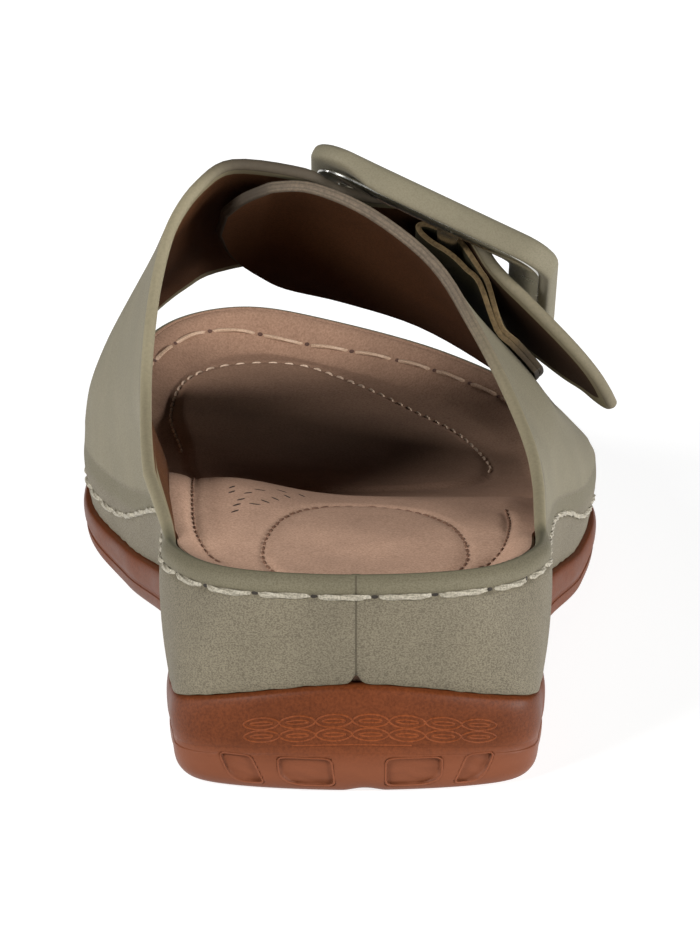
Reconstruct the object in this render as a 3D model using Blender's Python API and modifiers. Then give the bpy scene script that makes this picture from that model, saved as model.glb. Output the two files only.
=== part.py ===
# Right-foot slide sandal on a low wedge, with two crossed straps and an oversized covered buckle.
# Tables and sizes are in millimetres; toe towards +Y, outer side of the foot towards +X, floor at z = 0.

import math
from collections import namedtuple

import bmesh
import bpy
from mathutils import Matrix, Vector

MM = 0.001

# Driving sizes of the shoe
LENGTH = 248.0
BALL_WIDTH = 97.0
HEEL_HEIGHT = 41.0
INSTEP_HEIGHT = 82.5
LEATHER = 2.2
GAP = 0.3
ORIGIN = Vector((-2.2, 124.0, 0.0))

# Cross sections from the heel (turn 0) to the toe (turn 1). Inner and outer half widths are shares of the
# ball width, and tread is the sole's width as a share of the rim's. Rim, rubber line and seat are shares of
# the heel height, crown is a share of the instep height. Lift is how far the tread stands off the floor,
# ridge is where the top of the foot runs, flare is how far the inner strap leans out, and belly is how far
# the wrap rounds out half way up, all in mm.
Section = namedtuple("Section", "turn inner outer tread rim rubber seat lift ridge crown flare belly")
SECTIONS = [Section(*row) for row in (
    (0.0, 0.000, 0.000, 1.000, 1.000, 0.505, 0.870, 0.0, -12.0, 1.750, 0.0, 0.4),
    (0.1, 0.235, 0.235, 1.230, 0.990, 0.412, 0.850, 0.0, -12.0, 1.700, 0.0, 0.8),
    (0.2, 0.346, 0.346, 0.990, 0.961, 0.345, 0.845, 0.0, -12.0, 1.600, 1.5, 1.1),
    (0.3, 0.363, 0.363, 0.945, 0.878, 0.335, 0.850, 0.4, -12.0, 1.430, 4.0, 0.9),
    (0.4, 0.375, 0.387, 0.940, 0.738, 0.366, 0.750, 4.4, -13.0, 1.225, 4.6, 0.3),
    (0.5, 0.459, 0.452, 0.980, 0.541, 0.285, 0.480, 1.4, -15.0, 0.970, 2.0, 0.0),
    (0.6, 0.540, 0.475, 0.988, 0.459, 0.239, 0.330, 0.0, -18.0, 0.695, 0.2, 0.0),
    (0.7, 0.525, 0.387, 0.988, 0.468, 0.244, 0.330, 0.3, -21.0, 0.475, 0.0, 0.0),
    (0.8, 0.467, 0.191, 0.975, 0.515, 0.278, 0.370, 2.6, -24.0, 0.380, 0.0, 0.0),
    (0.9, 0.378, -0.057, 0.985, 0.566, 0.329, 0.405, 5.4, -24.0, 0.330, 0.0, 0.0),
    (1.0, 0.229, -0.229, 1.000, 0.590, 0.354, 0.415, 6.6, -24.0, 0.300, 0.0, 0.0),
)]
STEPS = len(SECTIONS) - 1
FLAT_LIFT = 0.3

# Roundness of the straps' arch on the inner and the outer side of its ridge
INNER_ROUND = 2.22
OUTER_ROUND_BACK = 1.48
OUTER_ROUND_FRONT = 1.28
ROUND_BACK_Y = 112.0
ROUND_FRONT_Y = 168.0
FLARE_CLIMB_HEEL = 0.06
FLARE_CLIMB_WAIST = 0.22
FLARE_HEEL_Y = 50.0
FLARE_WAIST_Y = 112.0

# Outer wall of the wrap: height share from the rubber line to the rim, and how far it swells out
WallRow = namedtuple("WallRow", "height swell")
WALL = [WallRow(*row) for row in ((0.0, -0.6), (0.25, -0.1), (0.5, 0.2), (0.75, 0.3), (1.0, 0.0))]

# Strap edges: share of the climb from the rim to the ridge, and where the back and front edges run
Edge = namedtuple("Edge", "climb back front")
INNER_STRAP = [Edge(*row) for row in (
    (0.00, 33.0, 208.0),
    (0.05, 57.0, 207.0),
    (0.16, 85.0, 204.0),
    (0.30, 97.0, 200.0),
    (0.45, 106.0, 195.5),
    (0.60, 112.0, 191.0),
    (0.75, 116.5, 187.0),
    (0.88, 119.5, 182.5),
)]
OUTER_STRAP = [Edge(*row) for row in (
    (0.00, 41.0, 166.0),
    (0.09, 56.0, 162.5),
    (0.17, 71.0, 159.0),
    (0.28, 90.0, 157.0),
    (0.42, 105.0, 158.5),
    (0.57, 114.0, 161.5),
    (0.72, 118.5, 170.5),
    (0.86, 120.0, 174.0),
    (1.00, 121.0, 169.0),
    (1.06, 121.5, 161.0),
    (1.12, 123.5, 151.0),
    (1.17, 128.0, 139.0),
)]
STRAP_COLUMNS = 12
HEEL_ARC = 22
TOE_ARC = 16
LAP_BACK = 6.5
LAP_FRONT = 5.4
LAP_START = 0.30

# Pad that sews the straps together where they cross: its place, and its half sizes over, along and through
CROSSING_Y = 150.0
CROSSING_CLIMB = 1.0
CROSSING_RISE = 1.2
CROSSING_HALF = (3.5, 10.0, 2.0)

# Buckle: where it lies, how it slopes forward and to the outer side, and its sizes along (a) and across (w)
BUCKLE_AT = Vector((14.0, 140.4, 64.6))
BUCKLE_PITCH = math.radians(29.5)
BUCKLE_ROLL = math.radians(26.0)
BUCKLE_ALONG = 51.5
BUCKLE_ACROSS = 56.0
COVER_WIDTH = 8.2
COVER_LOW = 0.4
COVER_HIGH = 4.2
COVER_CORNER = 7.6
PLATE_INSET = 2.4
PLATE_WIDTH = 4.6
PLATE_LOW = -1.1
PLATE_HIGH = 0.1
BAR_SKIN = 0.1
BAR_AT = 4.0
BAR_WIDTH = 4.4

# The inner strap through the buckle: place along it, height of its outer face, how far its front edge lifts
# and its back edge drops, and its two edges across
Fold = namedtuple("Fold", "along rise twist back front")
BUCKLE_RUN = [Fold(*row) for row in (
    (-25.0, -2.6, 0.0, -26.5, 30.0),
    (-19.0, -1.7, 0.0, -22.0, 22.2),
    (-13.0, 0.3, 0.0, -19.3, 19.3),
    (-7.0, 2.6, 0.0, -19.0, 19.0),
    (-1.0, 4.2, 0.0, -19.0, 19.0),
    (4.0, 4.6, 0.0, -18.8, 18.8),
    (9.0, 2.9, 0.3, -18.2, 18.2),
    (14.0, -0.1, 0.5, -17.5, 17.5),
    (18.0, -2.0, 0.3, -17.0, 17.0),
    (22.0, -3.5, 0.1, -16.6, 16.6),
    (27.0, -5.0, 0.3, -16.0, 16.0),
    (33.0, -6.8, 0.5, -14.6, 14.6),
    (37.5, -8.1, 0.7, -12.4, 12.4),
    (41.0, -9.5, 0.5, -9.2, 9.2),
    (43.4, -10.6, 0.3, -5.4, 5.4),
    (44.6, -11.2, 0.1, -2.2, 2.2),
)]

# Shape across a bar: share of its half width and share of its height
BarPoint = namedtuple("BarPoint", "out rise")
COVER_BAR = [BarPoint(*row) for row in (
    (-1.0, 0.30), (-1.0, 0.70), (-0.78, 0.95), (0.0, 1.0), (0.78, 0.95),
    (1.0, 0.70), (1.0, 0.30), (0.8, 0.04), (0.0, 0.0), (-0.8, 0.04),
)]
PLATE_BAR = [BarPoint(*row) for row in (
    (-1.0, 0.2), (-1.0, 1.0), (1.0, 1.0), (1.0, 0.2), (0.8, 0.0), (-0.8, 0.0),
)]
CORNER_STEPS = 5
INNER_CORNER = 1.5

# The folded tab: both its plies lie on the outer strap at these climbs, and it loops round the centre bar
TAB_PLY = 1.0
TAB_CLEAR = 0.4
TAB_COLUMNS = 6
TAB_BACK = -12.5
TAB_FRONT = 11.5
TAB_STRAP_BACK = 122.0
TAB_STRAP_FRONT = 144.0
TAB_CLIMBS = (0.29, 0.335, 0.38, 0.425)
LoopPoint = namedtuple("LoopPoint", "along rise")
TAB_LOOP = [LoopPoint(*row) for row in (
    (13.0, -5.0), (9.5, -3.6), (6.5, -2.5), (4.0, -2.0), (1.6, -1.75), (-0.5, -1.25), (-1.7, -0.75),
    (-2.35, 0.0), (-1.7, 0.75), (-0.5, 1.1), (1.6, 1.25), (4.0, 1.15), (6.5, 0.6), (9.0, -0.8),
    (12.0, -2.7), (14.5, -4.4),
)]


def smooth_step(f):
    """0 to 1, easing at both ends."""
    f = min(max(f, 0.0), 1.0)
    return f * f * (3.0 - 2.0 * f)


def catmull(values, position):
    """Smooth value between evenly spaced values of a closed run."""
    count = len(values)
    first = math.floor(position)
    f = position - first
    p0, p1, p2, p3 = (values[(first + k) % count] for k in (-1, 0, 1, 2))
    return p1 + 0.5 * f * (p2 - p0 + f * (2 * p0 - 5 * p1 + 4 * p2 - p3 + f * (3 * (p1 - p2) + p3 - p0)))


def around(column):
    """A column's values round the whole shoe: up the inner side from the heel, back down the outer side."""
    up = [getattr(row, column) for row in SECTIONS]
    return up + up[-2:0:-1]


RIM = [HEEL_HEIGHT * v for v in around("rim")]
RUBBER = [HEEL_HEIGHT * v for v in around("rubber")]
SEAT = [HEEL_HEIGHT * v for v in around("seat")]
LIFT = around("lift")
RIDGE = around("ridge")
CROWN = [INSTEP_HEIGHT * v for v in around("crown")]
FLARE = around("flare")
BELLY = around("belly")
INNER = [-BALL_WIDTH * row.inner for row in SECTIONS]
OUTER = [BALL_WIDTH * row.outer for row in SECTIONS]
SOLE_INNER = [(i + o + (i - o) * row.tread) / 2 for i, o, row in zip(INNER, OUTER, SECTIONS)]
SOLE_OUTER = [(i + o + (o - i) * row.tread) / 2 for i, o, row in zip(INNER, OUTER, SECTIONS)]
RIM_SIDE = INNER + OUTER[-2:0:-1]
SOLE_SIDE = SOLE_INNER + SOLE_OUTER[-2:0:-1]


def at(values, angle):
    """Value at an angle round the shoe: 0 at the heel, pi at the toe, inner side between them."""
    return catmull(values, angle / math.pi * STEPS)


def angle_at(y):
    """Inner-side angle of a place along the shoe."""
    return math.acos(max(-1.0, min(1.0, 1.0 - 2.0 * y / LENGTH)))


def outline(angle, level=1.0):
    """Point of the shoe's outline in plan: level 0 at the sole, 1 at the rim."""
    x = at(SOLE_SIDE, angle) * (1.0 - level) + at(RIM_SIDE, angle) * level
    return Vector((x, LENGTH / 2 * (1.0 - math.cos(angle)), 0.0))


def outward(angle, level=1.0):
    """Unit vector out of the outline, in plan."""
    run = outline(angle + 0.02, level) - outline(angle - 0.02, level)
    return Vector((-run.y, run.x, 0.0)).normalized()


def tread_height(y):
    """Height of the tread over the floor: flat at heel and ball, lifted at the waist and the toe."""
    return max(0.0, at(LIFT, angle_at(y)) - FLAT_LIFT)


def between(rows, key, value, share):
    """Straight value of a column between the rows of a table."""
    for low, high in zip(rows, rows[1:]):
        k0, k1 = getattr(low, key), getattr(high, key)
        if share <= k1:
            f = (share - k0) / (k1 - k0)
            return getattr(low, value) + f * (getattr(high, value) - getattr(low, value))
    return getattr(rows[-1], value)


def wall_point(angle, height, inset=0.0):
    """Point of the wrap's outer wall at a share of its height."""
    low = at(RUBBER, angle) + GAP
    swell = between(WALL, "height", "swell", height) + at(BELLY, angle) * 4.0 * height * (1.0 - height)
    point = outline(angle, height) + outward(angle, height) * (swell - inset)
    point.z = low + height * (at(RIM, angle) - low)
    return point


def arch_point(y, climb):
    """Point of the arch over the foot: climb 0 at the inner rim, 1 at the ridge, 2 at the outer rim."""
    angle = angle_at(y)
    theta = climb * math.pi / 2
    inner = theta <= math.pi / 2
    forward = smooth_step((y - ROUND_BACK_Y) / (ROUND_FRONT_Y - ROUND_BACK_Y))
    outer_round = OUTER_ROUND_BACK + forward * (OUTER_ROUND_FRONT - OUTER_ROUND_BACK)
    power = 2.0 / (INNER_ROUND if inner else outer_round)
    side = outline(angle if inner else 2 * math.pi - angle).x
    if inner:
        reach = smooth_step((y - FLARE_HEEL_Y) / (FLARE_WAIST_Y - FLARE_HEEL_Y))
        full = FLARE_CLIMB_HEEL + reach * (FLARE_CLIMB_WAIST - FLARE_CLIMB_HEEL)
        side -= at(FLARE, angle) * smooth_step(climb / full)
    ridge, rim, crown = at(RIDGE, angle), at(RIM, angle), at(CROWN, angle)
    x = ridge + (side - ridge) * abs(math.cos(theta)) ** power
    return Vector((x, y, rim + (crown - rim) * max(0.0, math.sin(theta)) ** power))


def arch_normal(y, climb):
    """Outward unit vector of the arch."""
    climb = min(max(climb, 0.03), 1.97)
    over = arch_point(y, climb + 0.02) - arch_point(y, climb - 0.02)
    along = arch_point(y + 1.0, climb) - arch_point(y - 1.0, climb)
    return over.cross(along).normalized()


BUCKLE_TURN = Matrix.Rotation(-BUCKLE_PITCH, 3, "X") @ Matrix.Rotation(BUCKLE_ROLL, 3, "Y")


def buckle_point(along, across, rise):
    """Point given along, across and above the buckle."""
    return BUCKLE_AT + BUCKLE_TURN @ Vector((along, across, rise))


def inner_rows():
    """Rows of the inner strap, each from its back edge to its front edge, without the rim's own row."""
    rows = []
    for edge in INNER_STRAP[1:]:
        lap = smooth_step((edge.climb - LAP_START) / (1.0 - LAP_START))
        row = []
        for k in range(STRAP_COLUMNS + 1):
            f = k / STRAP_COLUMNS
            y = edge.back + f * (edge.front - edge.back)
            over = lap * (LAP_BACK + f * (LAP_FRONT - LAP_BACK))
            row.append(arch_point(y, edge.climb) + arch_normal(y, edge.climb) * over)
        rows.append(row)
    for fold in BUCKLE_RUN:
        row = []
        for k in range(STRAP_COLUMNS + 1):
            f = k / STRAP_COLUMNS
            across = fold.back + f * (fold.front - fold.back)
            row.append(buckle_point(fold.along, across, fold.rise + fold.twist * (2.0 * f - 1.0)))
        rows.append(row)
    return rows


def outer_rows():
    """Rows of the outer strap, each from its front edge to its back edge, without the rim's own row."""
    rows = []
    for edge in OUTER_STRAP[1:]:
        rows.append([
            arch_point(edge.front + k / STRAP_COLUMNS * (edge.back - edge.front), 2.0 - edge.climb)
            for k in range(STRAP_COLUMNS + 1)
        ])
    return rows


def refine(rows):
    """Rows with one more between each pair, on a smooth four-point run through their neighbours."""
    fine = []
    for k in range(len(rows) - 1):
        before, after = rows[max(k - 1, 0)], rows[min(k + 2, len(rows) - 1)]
        fine.append(rows[k])
        fine.append([
            (9.0 * (p1 + p2) - p0 - p3) / 16.0
            for p0, p1, p2, p3 in zip(before, rows[k], rows[k + 1], after)
        ])
    return fine + rows[-1:]


def spread(start, stop, count):
    """Evenly spaced values, both ends included."""
    return [start + (stop - start) * k / count for k in range(count + 1)]


def upper_angles():
    """Angles round the wrap: inner strap, toe, outer strap, heel."""
    inner = [angle_at(y) for y in spread(INNER_STRAP[0].back, INNER_STRAP[0].front, STRAP_COLUMNS)]
    outer = [
        2 * math.pi - angle_at(y)
        for y in spread(OUTER_STRAP[0].front, OUTER_STRAP[0].back, STRAP_COLUMNS)
    ]
    toe = spread(inner[-1], outer[0], TOE_ARC)[1:-1]
    heel = spread(outer[-1], 2 * math.pi + inner[0], HEEL_ARC)[1:-1]
    return inner + toe + outer + heel


def add_row(bm, points):
    return [bm.verts.new(p * MM) for p in points]


def skin(bm, low, high, closed=False):
    """Quads between two rows of vertices, facing out for rows that run up the inner side."""
    count = len(low)
    for k in range(count if closed else count - 1):
        n = (k + 1) % count
        bm.faces.new((low[n], low[k], high[k], high[n]))


def material(name, colour, roughness, metallic=0.0):
    mat = bpy.data.materials.new(name)
    mat.use_nodes = True
    shader = mat.node_tree.nodes["Principled BSDF"]
    shader.inputs["Base Color"].default_value = (*colour, 1.0)
    shader.inputs["Roughness"].default_value = roughness
    shader.inputs["Metallic"].default_value = metallic
    return mat


def body(name, bm, mat, collection):
    """Object of a finished mesh, in the shoe's own frame."""
    mesh = bpy.data.meshes.new(name)
    bm.to_mesh(mesh)
    bm.free()
    mesh.materials.append(mat)
    obj = bpy.data.objects.new(name, mesh)
    collection.objects.link(obj)
    obj.parent = shoe
    return obj


def cutter(name, points, faces):
    """Closed helper body for a Boolean, from its corners and faces."""
    bm = bmesh.new()
    verts = [bm.verts.new(p * MM) for p in points]
    for face in faces:
        bm.faces.new([verts[k] for k in face])
    bmesh.ops.recalc_face_normals(bm, faces=bm.faces)
    mesh = bpy.data.meshes.new(name)
    bm.to_mesh(mesh)
    bm.free()
    obj = bpy.data.objects.new(name, mesh)
    helpers.objects.link(obj)
    obj.parent = shoe
    obj.hide_render = True
    obj.display_type = "WIRE"
    return obj


BOX_FACES = ((0, 1, 3, 2), (4, 6, 7, 5), (0, 4, 5, 1), (2, 3, 7, 6), (0, 2, 6, 4), (1, 5, 7, 3))


def box_points(place, half):
    """Eight corners of a box whose own frame is given by a place function."""
    return [place(i * half[0], j * half[1], k * half[2]) for i in (-1, 1) for j in (-1, 1) for k in (-1, 1)]


def combine(obj, other, operation):
    mod = obj.modifiers.new(other.name, "BOOLEAN")
    mod.operation = operation
    mod.solver = "EXACT"
    mod.object = other


def build_upper(collection):
    """The wrap and both straps: one outer skin, thickened inwards, with the crossing sewn together."""
    bm = bmesh.new()
    angles = upper_angles()
    rows = [add_row(bm, [wall_point(a, row.height) for a in angles]) for row in WALL]
    for low, high in zip(rows, rows[1:]):
        skin(bm, low, high, closed=True)
    rim = rows[-1]
    outer_start = STRAP_COLUMNS + TOE_ARC
    for first, strap in ((0, inner_rows()), (outer_start, outer_rows())):
        low = rim[first:first + STRAP_COLUMNS + 1]
        feet = [v.co / MM for v in low]
        for points in refine([feet] + strap)[2:]:
            high = add_row(bm, points)
            skin(bm, low, high)
            low = high
    obj = body("upper", bm, material("sage leather", (0.235, 0.225, 0.165), 0.72), collection)
    wall = obj.modifiers.new("leather", "SOLIDIFY")
    wall.thickness = LEATHER * MM
    wall.offset = -1.0
    wall.use_even_offset = True
    normal = arch_normal(CROSSING_Y, CROSSING_CLIMB)
    side = arch_point(CROSSING_Y, CROSSING_CLIMB + 0.05) - arch_point(CROSSING_Y, CROSSING_CLIMB - 0.05)
    side = side.normalized()
    front = normal.cross(side)
    centre = arch_point(CROSSING_Y, CROSSING_CLIMB) + normal * CROSSING_RISE
    pad = cutter(
        "strap crossing",
        box_points(lambda i, j, k: centre + side * i + front * j + normal * k, CROSSING_HALF),
        BOX_FACES,
    )
    combine(obj, pad, "UNION")
    return obj


# Rows of the outsole's side, from its top edge to the tread: height share of the upper part above the side
# groove, height share of the lower part below it, and how far it stands out from the rim's outline
SoleRow = namedtuple("SoleRow", "above below swell")
SOLE_ROWS = [SoleRow(*row) for row in (
    (1.00, 1.0, -0.4),
    (0.93, 1.0, 0.4),
    (0.70, 1.0, 0.8),
    (0.30, 1.0, 0.7),
    (0.08, 1.0, 0.4),
    (0.00, 1.0, 0.1),
    (0.00, 0.88, 0.1),
    (0.00, 0.80, 0.3),
    (0.00, 0.40, 0.0),
    (0.00, 0.20, -0.7),
    (0.00, 0.07, -1.9),
    (0.00, 0.00, -4.0),
)]
GROOVE_SHARE = 0.455
SOLE_RING = 64
SOLE_BOTTOM_INSETS = (0.72, 0.4)
SOLE_TOP_SHARES = (0.95, 0.6, 0.3)
BED_UNDER_SHARES = (0.88, 0.6, 0.3)
FILL_INSET = LEATHER + 0.4
FLOOR_THICK = 4.5
FLOOR_GAP = 0.7
SPINE_REACH = 0.76


def spine(angle):
    """Middle line of the shoe that the closing rings shrink to."""
    y = LENGTH / 2 * (1.0 - SPINE_REACH * math.cos(angle))
    inner, outer = outline(angle_at(y)), outline(2 * math.pi - angle_at(y))
    return (inner + outer) / 2


def floor_height(point):
    """Height of the outsole's inner floor under the footbed."""
    return tread_height(point.y) + FLOOR_THICK


def build_outsole(collection):
    bm = bmesh.new()
    angles = spread(0.0, 2 * math.pi, SOLE_RING)[:-1]
    rings = []
    for share in SOLE_TOP_SHARES[::-1]:
        ring = []
        for a in angles:
            edge = wall_point(a, 0.0, FILL_INSET)
            p = spine(a) + (edge - spine(a)) * share
            p.z = floor_height(p)
            ring.append(p)
        rings.append(ring)
    ledge = []
    for a in angles:
        p = wall_point(a, 0.0, FILL_INSET)
        p.z = at(RUBBER, a)
        ledge.append(p)
    rings.append(ledge)
    for row in SOLE_ROWS:
        ring = []
        for a in angles:
            p = outline(a, 0.0) + outward(a, 0.0) * row.swell
            tread = tread_height(p.y)
            top = at(RUBBER, a)
            groove = tread + GROOVE_SHARE * (top - tread)
            p.z = tread + row.below * (groove - tread) + row.above * (top - groove)
            ring.append(p)
        rings.append(ring)
    tread_ring = rings[-1]
    for share in SOLE_BOTTOM_INSETS:
        ring = []
        for a, edge in zip(angles, tread_ring):
            p = spine(a) + (edge - spine(a)) * share
            p.z = tread_height(p.y)
            ring.append(p)
        rings.append(ring)
    verts = [add_row(bm, ring) for ring in rings]
    for high, low in zip(verts, verts[1:]):
        skin(bm, low, high, closed=True)
    close_to_spine(bm, verts[0], angles, floor_height)
    close_to_spine(bm, verts[-1], angles, lambda p: tread_height(p.y))
    bmesh.ops.recalc_face_normals(bm, faces=bm.faces)
    obj = body("outsole", bm, material("brown rubber", (0.31, 0.115, 0.062), 0.42), collection)
    combine(obj, tread_cutters(), "DIFFERENCE")
    return obj


# Recessed panels low on the heel's back, by their angle round the heel and width
Panel = namedtuple("Panel", "degrees wide")
PANELS = [Panel(*row) for row in ((13.3, 5.4), (5.7, 10.0), (-6.4, 10.0), (-14.0, 4.6))]
PANEL_HEIGHT = 5.4
PANEL_MIDDLE = 4.4
PANEL_OUT = 0.4
PANEL_HALF_DEPTH = 1.2
PANEL_LEAN = math.radians(12.0)

# Cross grooves that part the tread into lugs
LUG_GROOVES = (13.0, 23.0, 33.0, 43.0, 149.0, 159.5, 170.0, 180.5, 191.0)
LUG_GROOVE_WIDTH = 2.4
LUG_GROOVE_DEPTH = 1.5
LUG_EDGE = 11.0


def tread_cutters():
    """Boxes that cut the heel panels and the grooves between the lugs."""
    points = []
    for panel in PANELS:
        angle = math.radians(panel.degrees)
        out = outward(angle, 0.0)
        along = Vector((out.y, -out.x, 0.0))
        up = Vector((0.0, 0.0, math.cos(PANEL_LEAN))) + out * math.sin(PANEL_LEAN)
        face = along.cross(up)
        face *= 1.0 if face.dot(out) > 0 else -1.0
        centre = outline(angle, 0.0) + Vector((0.0, 0.0, PANEL_MIDDLE)) + face * PANEL_OUT
        half = (panel.wide / 2, PANEL_HALF_DEPTH, PANEL_HEIGHT / 2)
        points += box_points(lambda i, j, k: centre + along * i + face * j + up * k, half)
    for y in LUG_GROOVES:
        inner = outline(angle_at(y), 0.0).x + LUG_EDGE
        outer = outline(2 * math.pi - angle_at(y), 0.0).x - LUG_EDGE
        centre = Vector(((inner + outer) / 2, y, tread_height(y)))
        half = ((outer - inner) / 2, LUG_GROOVE_WIDTH / 2, LUG_GROOVE_DEPTH)
        points += box_points(lambda i, j, k: centre + Vector((i, j, k)), half)
    faces = [[8 * n + k for k in face] for n in range(len(points) // 8) for face in BOX_FACES]
    return cutter("tread cuts", points, faces)


def close_to_spine(bm, ring, angles, height):
    """Cap of a ring: quads to the middle line, which both sides share."""
    half = len(ring) // 2
    middle = []
    for k in range(half + 1):
        p = spine(angles[k])
        p.z = height(p)
        middle.append(bm.verts.new(p * MM))
    for k in range(half):
        bm.faces.new((ring[k], ring[k + 1], middle[k + 1], middle[k]))
        bm.faces.new((ring[-k - 1], ring[-k], middle[k], middle[k + 1]))


# Footbed: rings from its edge to its middle, and the arch bump on the inner side
BED_RINGS = (0.97, 0.91, 0.84, 0.7, 0.5, 0.25)
BED_LIP = 0.76
BED_EDGE_DROP = 0.9
ARCH_BUMP = namedtuple("Bump", "x y rise wide long")(-25.0, 82.0, 4.2, 15.0, 26.0)
WAIST_LIP = namedtuple("Lip", "y rise long")(80.0, 5.0, 26.0)


def lip_height(angle):
    """Height of the footbed's edge: just under the rim, higher along the inner waist."""
    height = at(RIM, angle) - BED_EDGE_DROP
    if 0.0 < angle < math.pi:
        height += WAIST_LIP.rise * math.exp(-((outline(angle).y - WAIST_LIP.y) / WAIST_LIP.long) ** 2)
    return height


def bed_height(angle, share, point):
    """Height of the footbed: its seat, raised to the lip near the edge and at the arch bump."""
    seat = at(SEAT, angle_at(point.y))
    bump = ARCH_BUMP
    dx, dy = (point.x - bump.x) / bump.wide, (point.y - bump.y) / bump.long
    seat += bump.rise * math.exp(-dx * dx - dy * dy)
    f = smooth_step((share - BED_LIP) / (1.0 - BED_LIP))
    return seat + (lip_height(angle) - seat) * f


def build_footbed(collection):
    bm = bmesh.new()
    angles = spread(0.0, 2 * math.pi, SOLE_RING)[:-1]
    rings = []
    for share in BED_RINGS[::-1]:
        ring = []
        for a in angles:
            p = spine(a) + (wall_point(a, 1.0, FILL_INSET) - spine(a)) * share
            p.z = bed_height(a, share, p)
            ring.append(p)
        rings.append(ring)
    for height in (1.0, 0.75, 0.5, 0.25, 0.0):
        ring = []
        for a in angles:
            p = wall_point(a, height, FILL_INSET)
            if height == 1.0:
                p.z = lip_height(a)
            ring.append(p)
        rings.append(ring)
    for share in BED_UNDER_SHARES:
        ring = []
        for a in angles:
            edge = wall_point(a, 0.0, FILL_INSET)
            p = spine(a) + (edge - spine(a)) * share
            p.z = floor_height(p) + FLOOR_GAP
            ring.append(p)
        rings.append(ring)
    verts = [add_row(bm, ring) for ring in rings]
    for high, low in zip(verts, verts[1:]):
        skin(bm, low, high, closed=True)
    close_to_spine(bm, verts[0], angles, lambda p: bed_height(0.0, 0.0, p))
    close_to_spine(bm, verts[-1], angles, lambda p: floor_height(p) + FLOOR_GAP)
    bmesh.ops.recalc_face_normals(bm, faces=bm.faces)
    return body("footbed", bm, material("brown footbed", (0.33, 0.2, 0.14), 0.85), collection)


def rounded_frame(half_along, half_across, radius):
    """Points of a corner-rounded rectangle in the buckle's plane."""
    path = []
    for quarter in range(4):
        sx = 1 if quarter in (0, 3) else -1
        sy = 1 if quarter in (0, 1) else -1
        for k in range(CORNER_STEPS + 1):
            turn = (quarter + k / CORNER_STEPS) * math.pi / 2
            x = sx * (half_along - radius) + radius * math.cos(turn)
            path.append((x, sy * (half_across - radius) + radius * math.sin(turn)))
    return path


def sweep_ring(bm, half_along, half_across, corner, width, profile, low, high):
    """Closed bar round a rectangle in the buckle's frame, given by its outer sizes."""
    rows = []
    for point in profile:
        inset = (1.0 - point.out) * width / 2
        frame = rounded_frame(half_along - inset, half_across - inset, max(INNER_CORNER, corner - inset))
        rise = low + point.rise * (high - low)
        rows.append(add_row(bm, [buckle_point(x, y, rise) for x, y in frame]))
    for low_row, high_row in zip(rows, rows[1:] + rows[:1]):
        skin(bm, low_row, high_row, closed=True)
    bmesh.ops.recalc_face_normals(bm, faces=bm.faces)


def build_buckle_cover(collection):
    bm = bmesh.new()
    reach_along, reach_across = BUCKLE_ALONG / 2, BUCKLE_ACROSS / 2
    sweep_ring(bm, reach_along, reach_across, COVER_CORNER, COVER_WIDTH, COVER_BAR, COVER_LOW, COVER_HIGH)
    leather = material("covered buckle leather", (0.235, 0.225, 0.165), 0.72)
    return body("buckle_cover", bm, leather, collection)


def build_buckle_frame(collection):
    """Metal slider plate: a thin ring joined to its centre bar."""
    bm = bmesh.new()
    reach_along = BUCKLE_ALONG / 2 - PLATE_INSET
    reach_across = BUCKLE_ACROSS / 2 - PLATE_INSET
    corner = COVER_CORNER - PLATE_INSET / 2
    sweep_ring(bm, reach_along, reach_across, corner, PLATE_WIDTH, PLATE_BAR, PLATE_LOW, PLATE_HIGH)
    obj = body("buckle_frame", bm, material("buckle metal", (0.62, 0.62, 0.60), 0.25, 1.0), collection)
    middle = (PLATE_LOW + PLATE_HIGH) / 2
    thick = (PLATE_HIGH - PLATE_LOW) / 2 - BAR_SKIN
    bar = cutter(
        "centre bar",
        box_points(
            lambda i, j, k: buckle_point(BAR_AT + i, j, middle + k),
            (BAR_WIDTH / 2, reach_across - PLATE_WIDTH / 2, thick),
        ),
        BOX_FACES,
    )
    combine(obj, bar, "UNION")
    return obj


def tab_strap_row(climb, over):
    """Row of the tab that lies on the outer strap."""
    row = []
    for y in spread(TAB_STRAP_BACK, TAB_STRAP_FRONT, TAB_COLUMNS):
        row.append(arch_point(y, 2.0 - climb) + arch_normal(y, 2.0 - climb) * over)
    return row


def build_buckle_tab(collection):
    """Folded leather tab: one strip that runs up the outer strap, round the centre bar and back down."""
    under = TAB_CLEAR + TAB_PLY / 2
    over = under + TAB_PLY + GAP
    rows = [tab_strap_row(climb, under) for climb in TAB_CLIMBS]
    across = spread(TAB_BACK, TAB_FRONT, TAB_COLUMNS)
    for point in TAB_LOOP:
        rows.append([buckle_point(point.along, w, point.rise) for w in across])
    rows += [tab_strap_row(climb, over) for climb in TAB_CLIMBS[::-1]]
    bm = bmesh.new()
    low = add_row(bm, rows[0])
    for points in rows[1:]:
        high = add_row(bm, points)
        skin(bm, low, high)
        low = high
    obj = body("buckle_tab", bm, material("tab leather", (0.19, 0.17, 0.11), 0.75), collection)
    ply = obj.modifiers.new("ply", "SOLIDIFY")
    ply.thickness = TAB_PLY * MM
    ply.offset = 0.0
    ply.use_even_offset = True
    return obj


for old in list(bpy.data.objects):
    bpy.data.objects.remove(old, do_unlink=True)
parts = bpy.data.collections.new("flat buckle sandal")
helpers = bpy.data.collections.new("cutters")
bpy.context.scene.collection.children.link(parts)
bpy.context.scene.collection.children.link(helpers)
shoe = bpy.data.objects.new("sandal", None)
parts.objects.link(shoe)
shoe.location = -ORIGIN * MM

build_outsole(parts)
build_footbed(parts)
build_upper(parts)
build_buckle_cover(parts)
build_buckle_frame(parts)
build_buckle_tab(parts)
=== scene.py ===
import math

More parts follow.
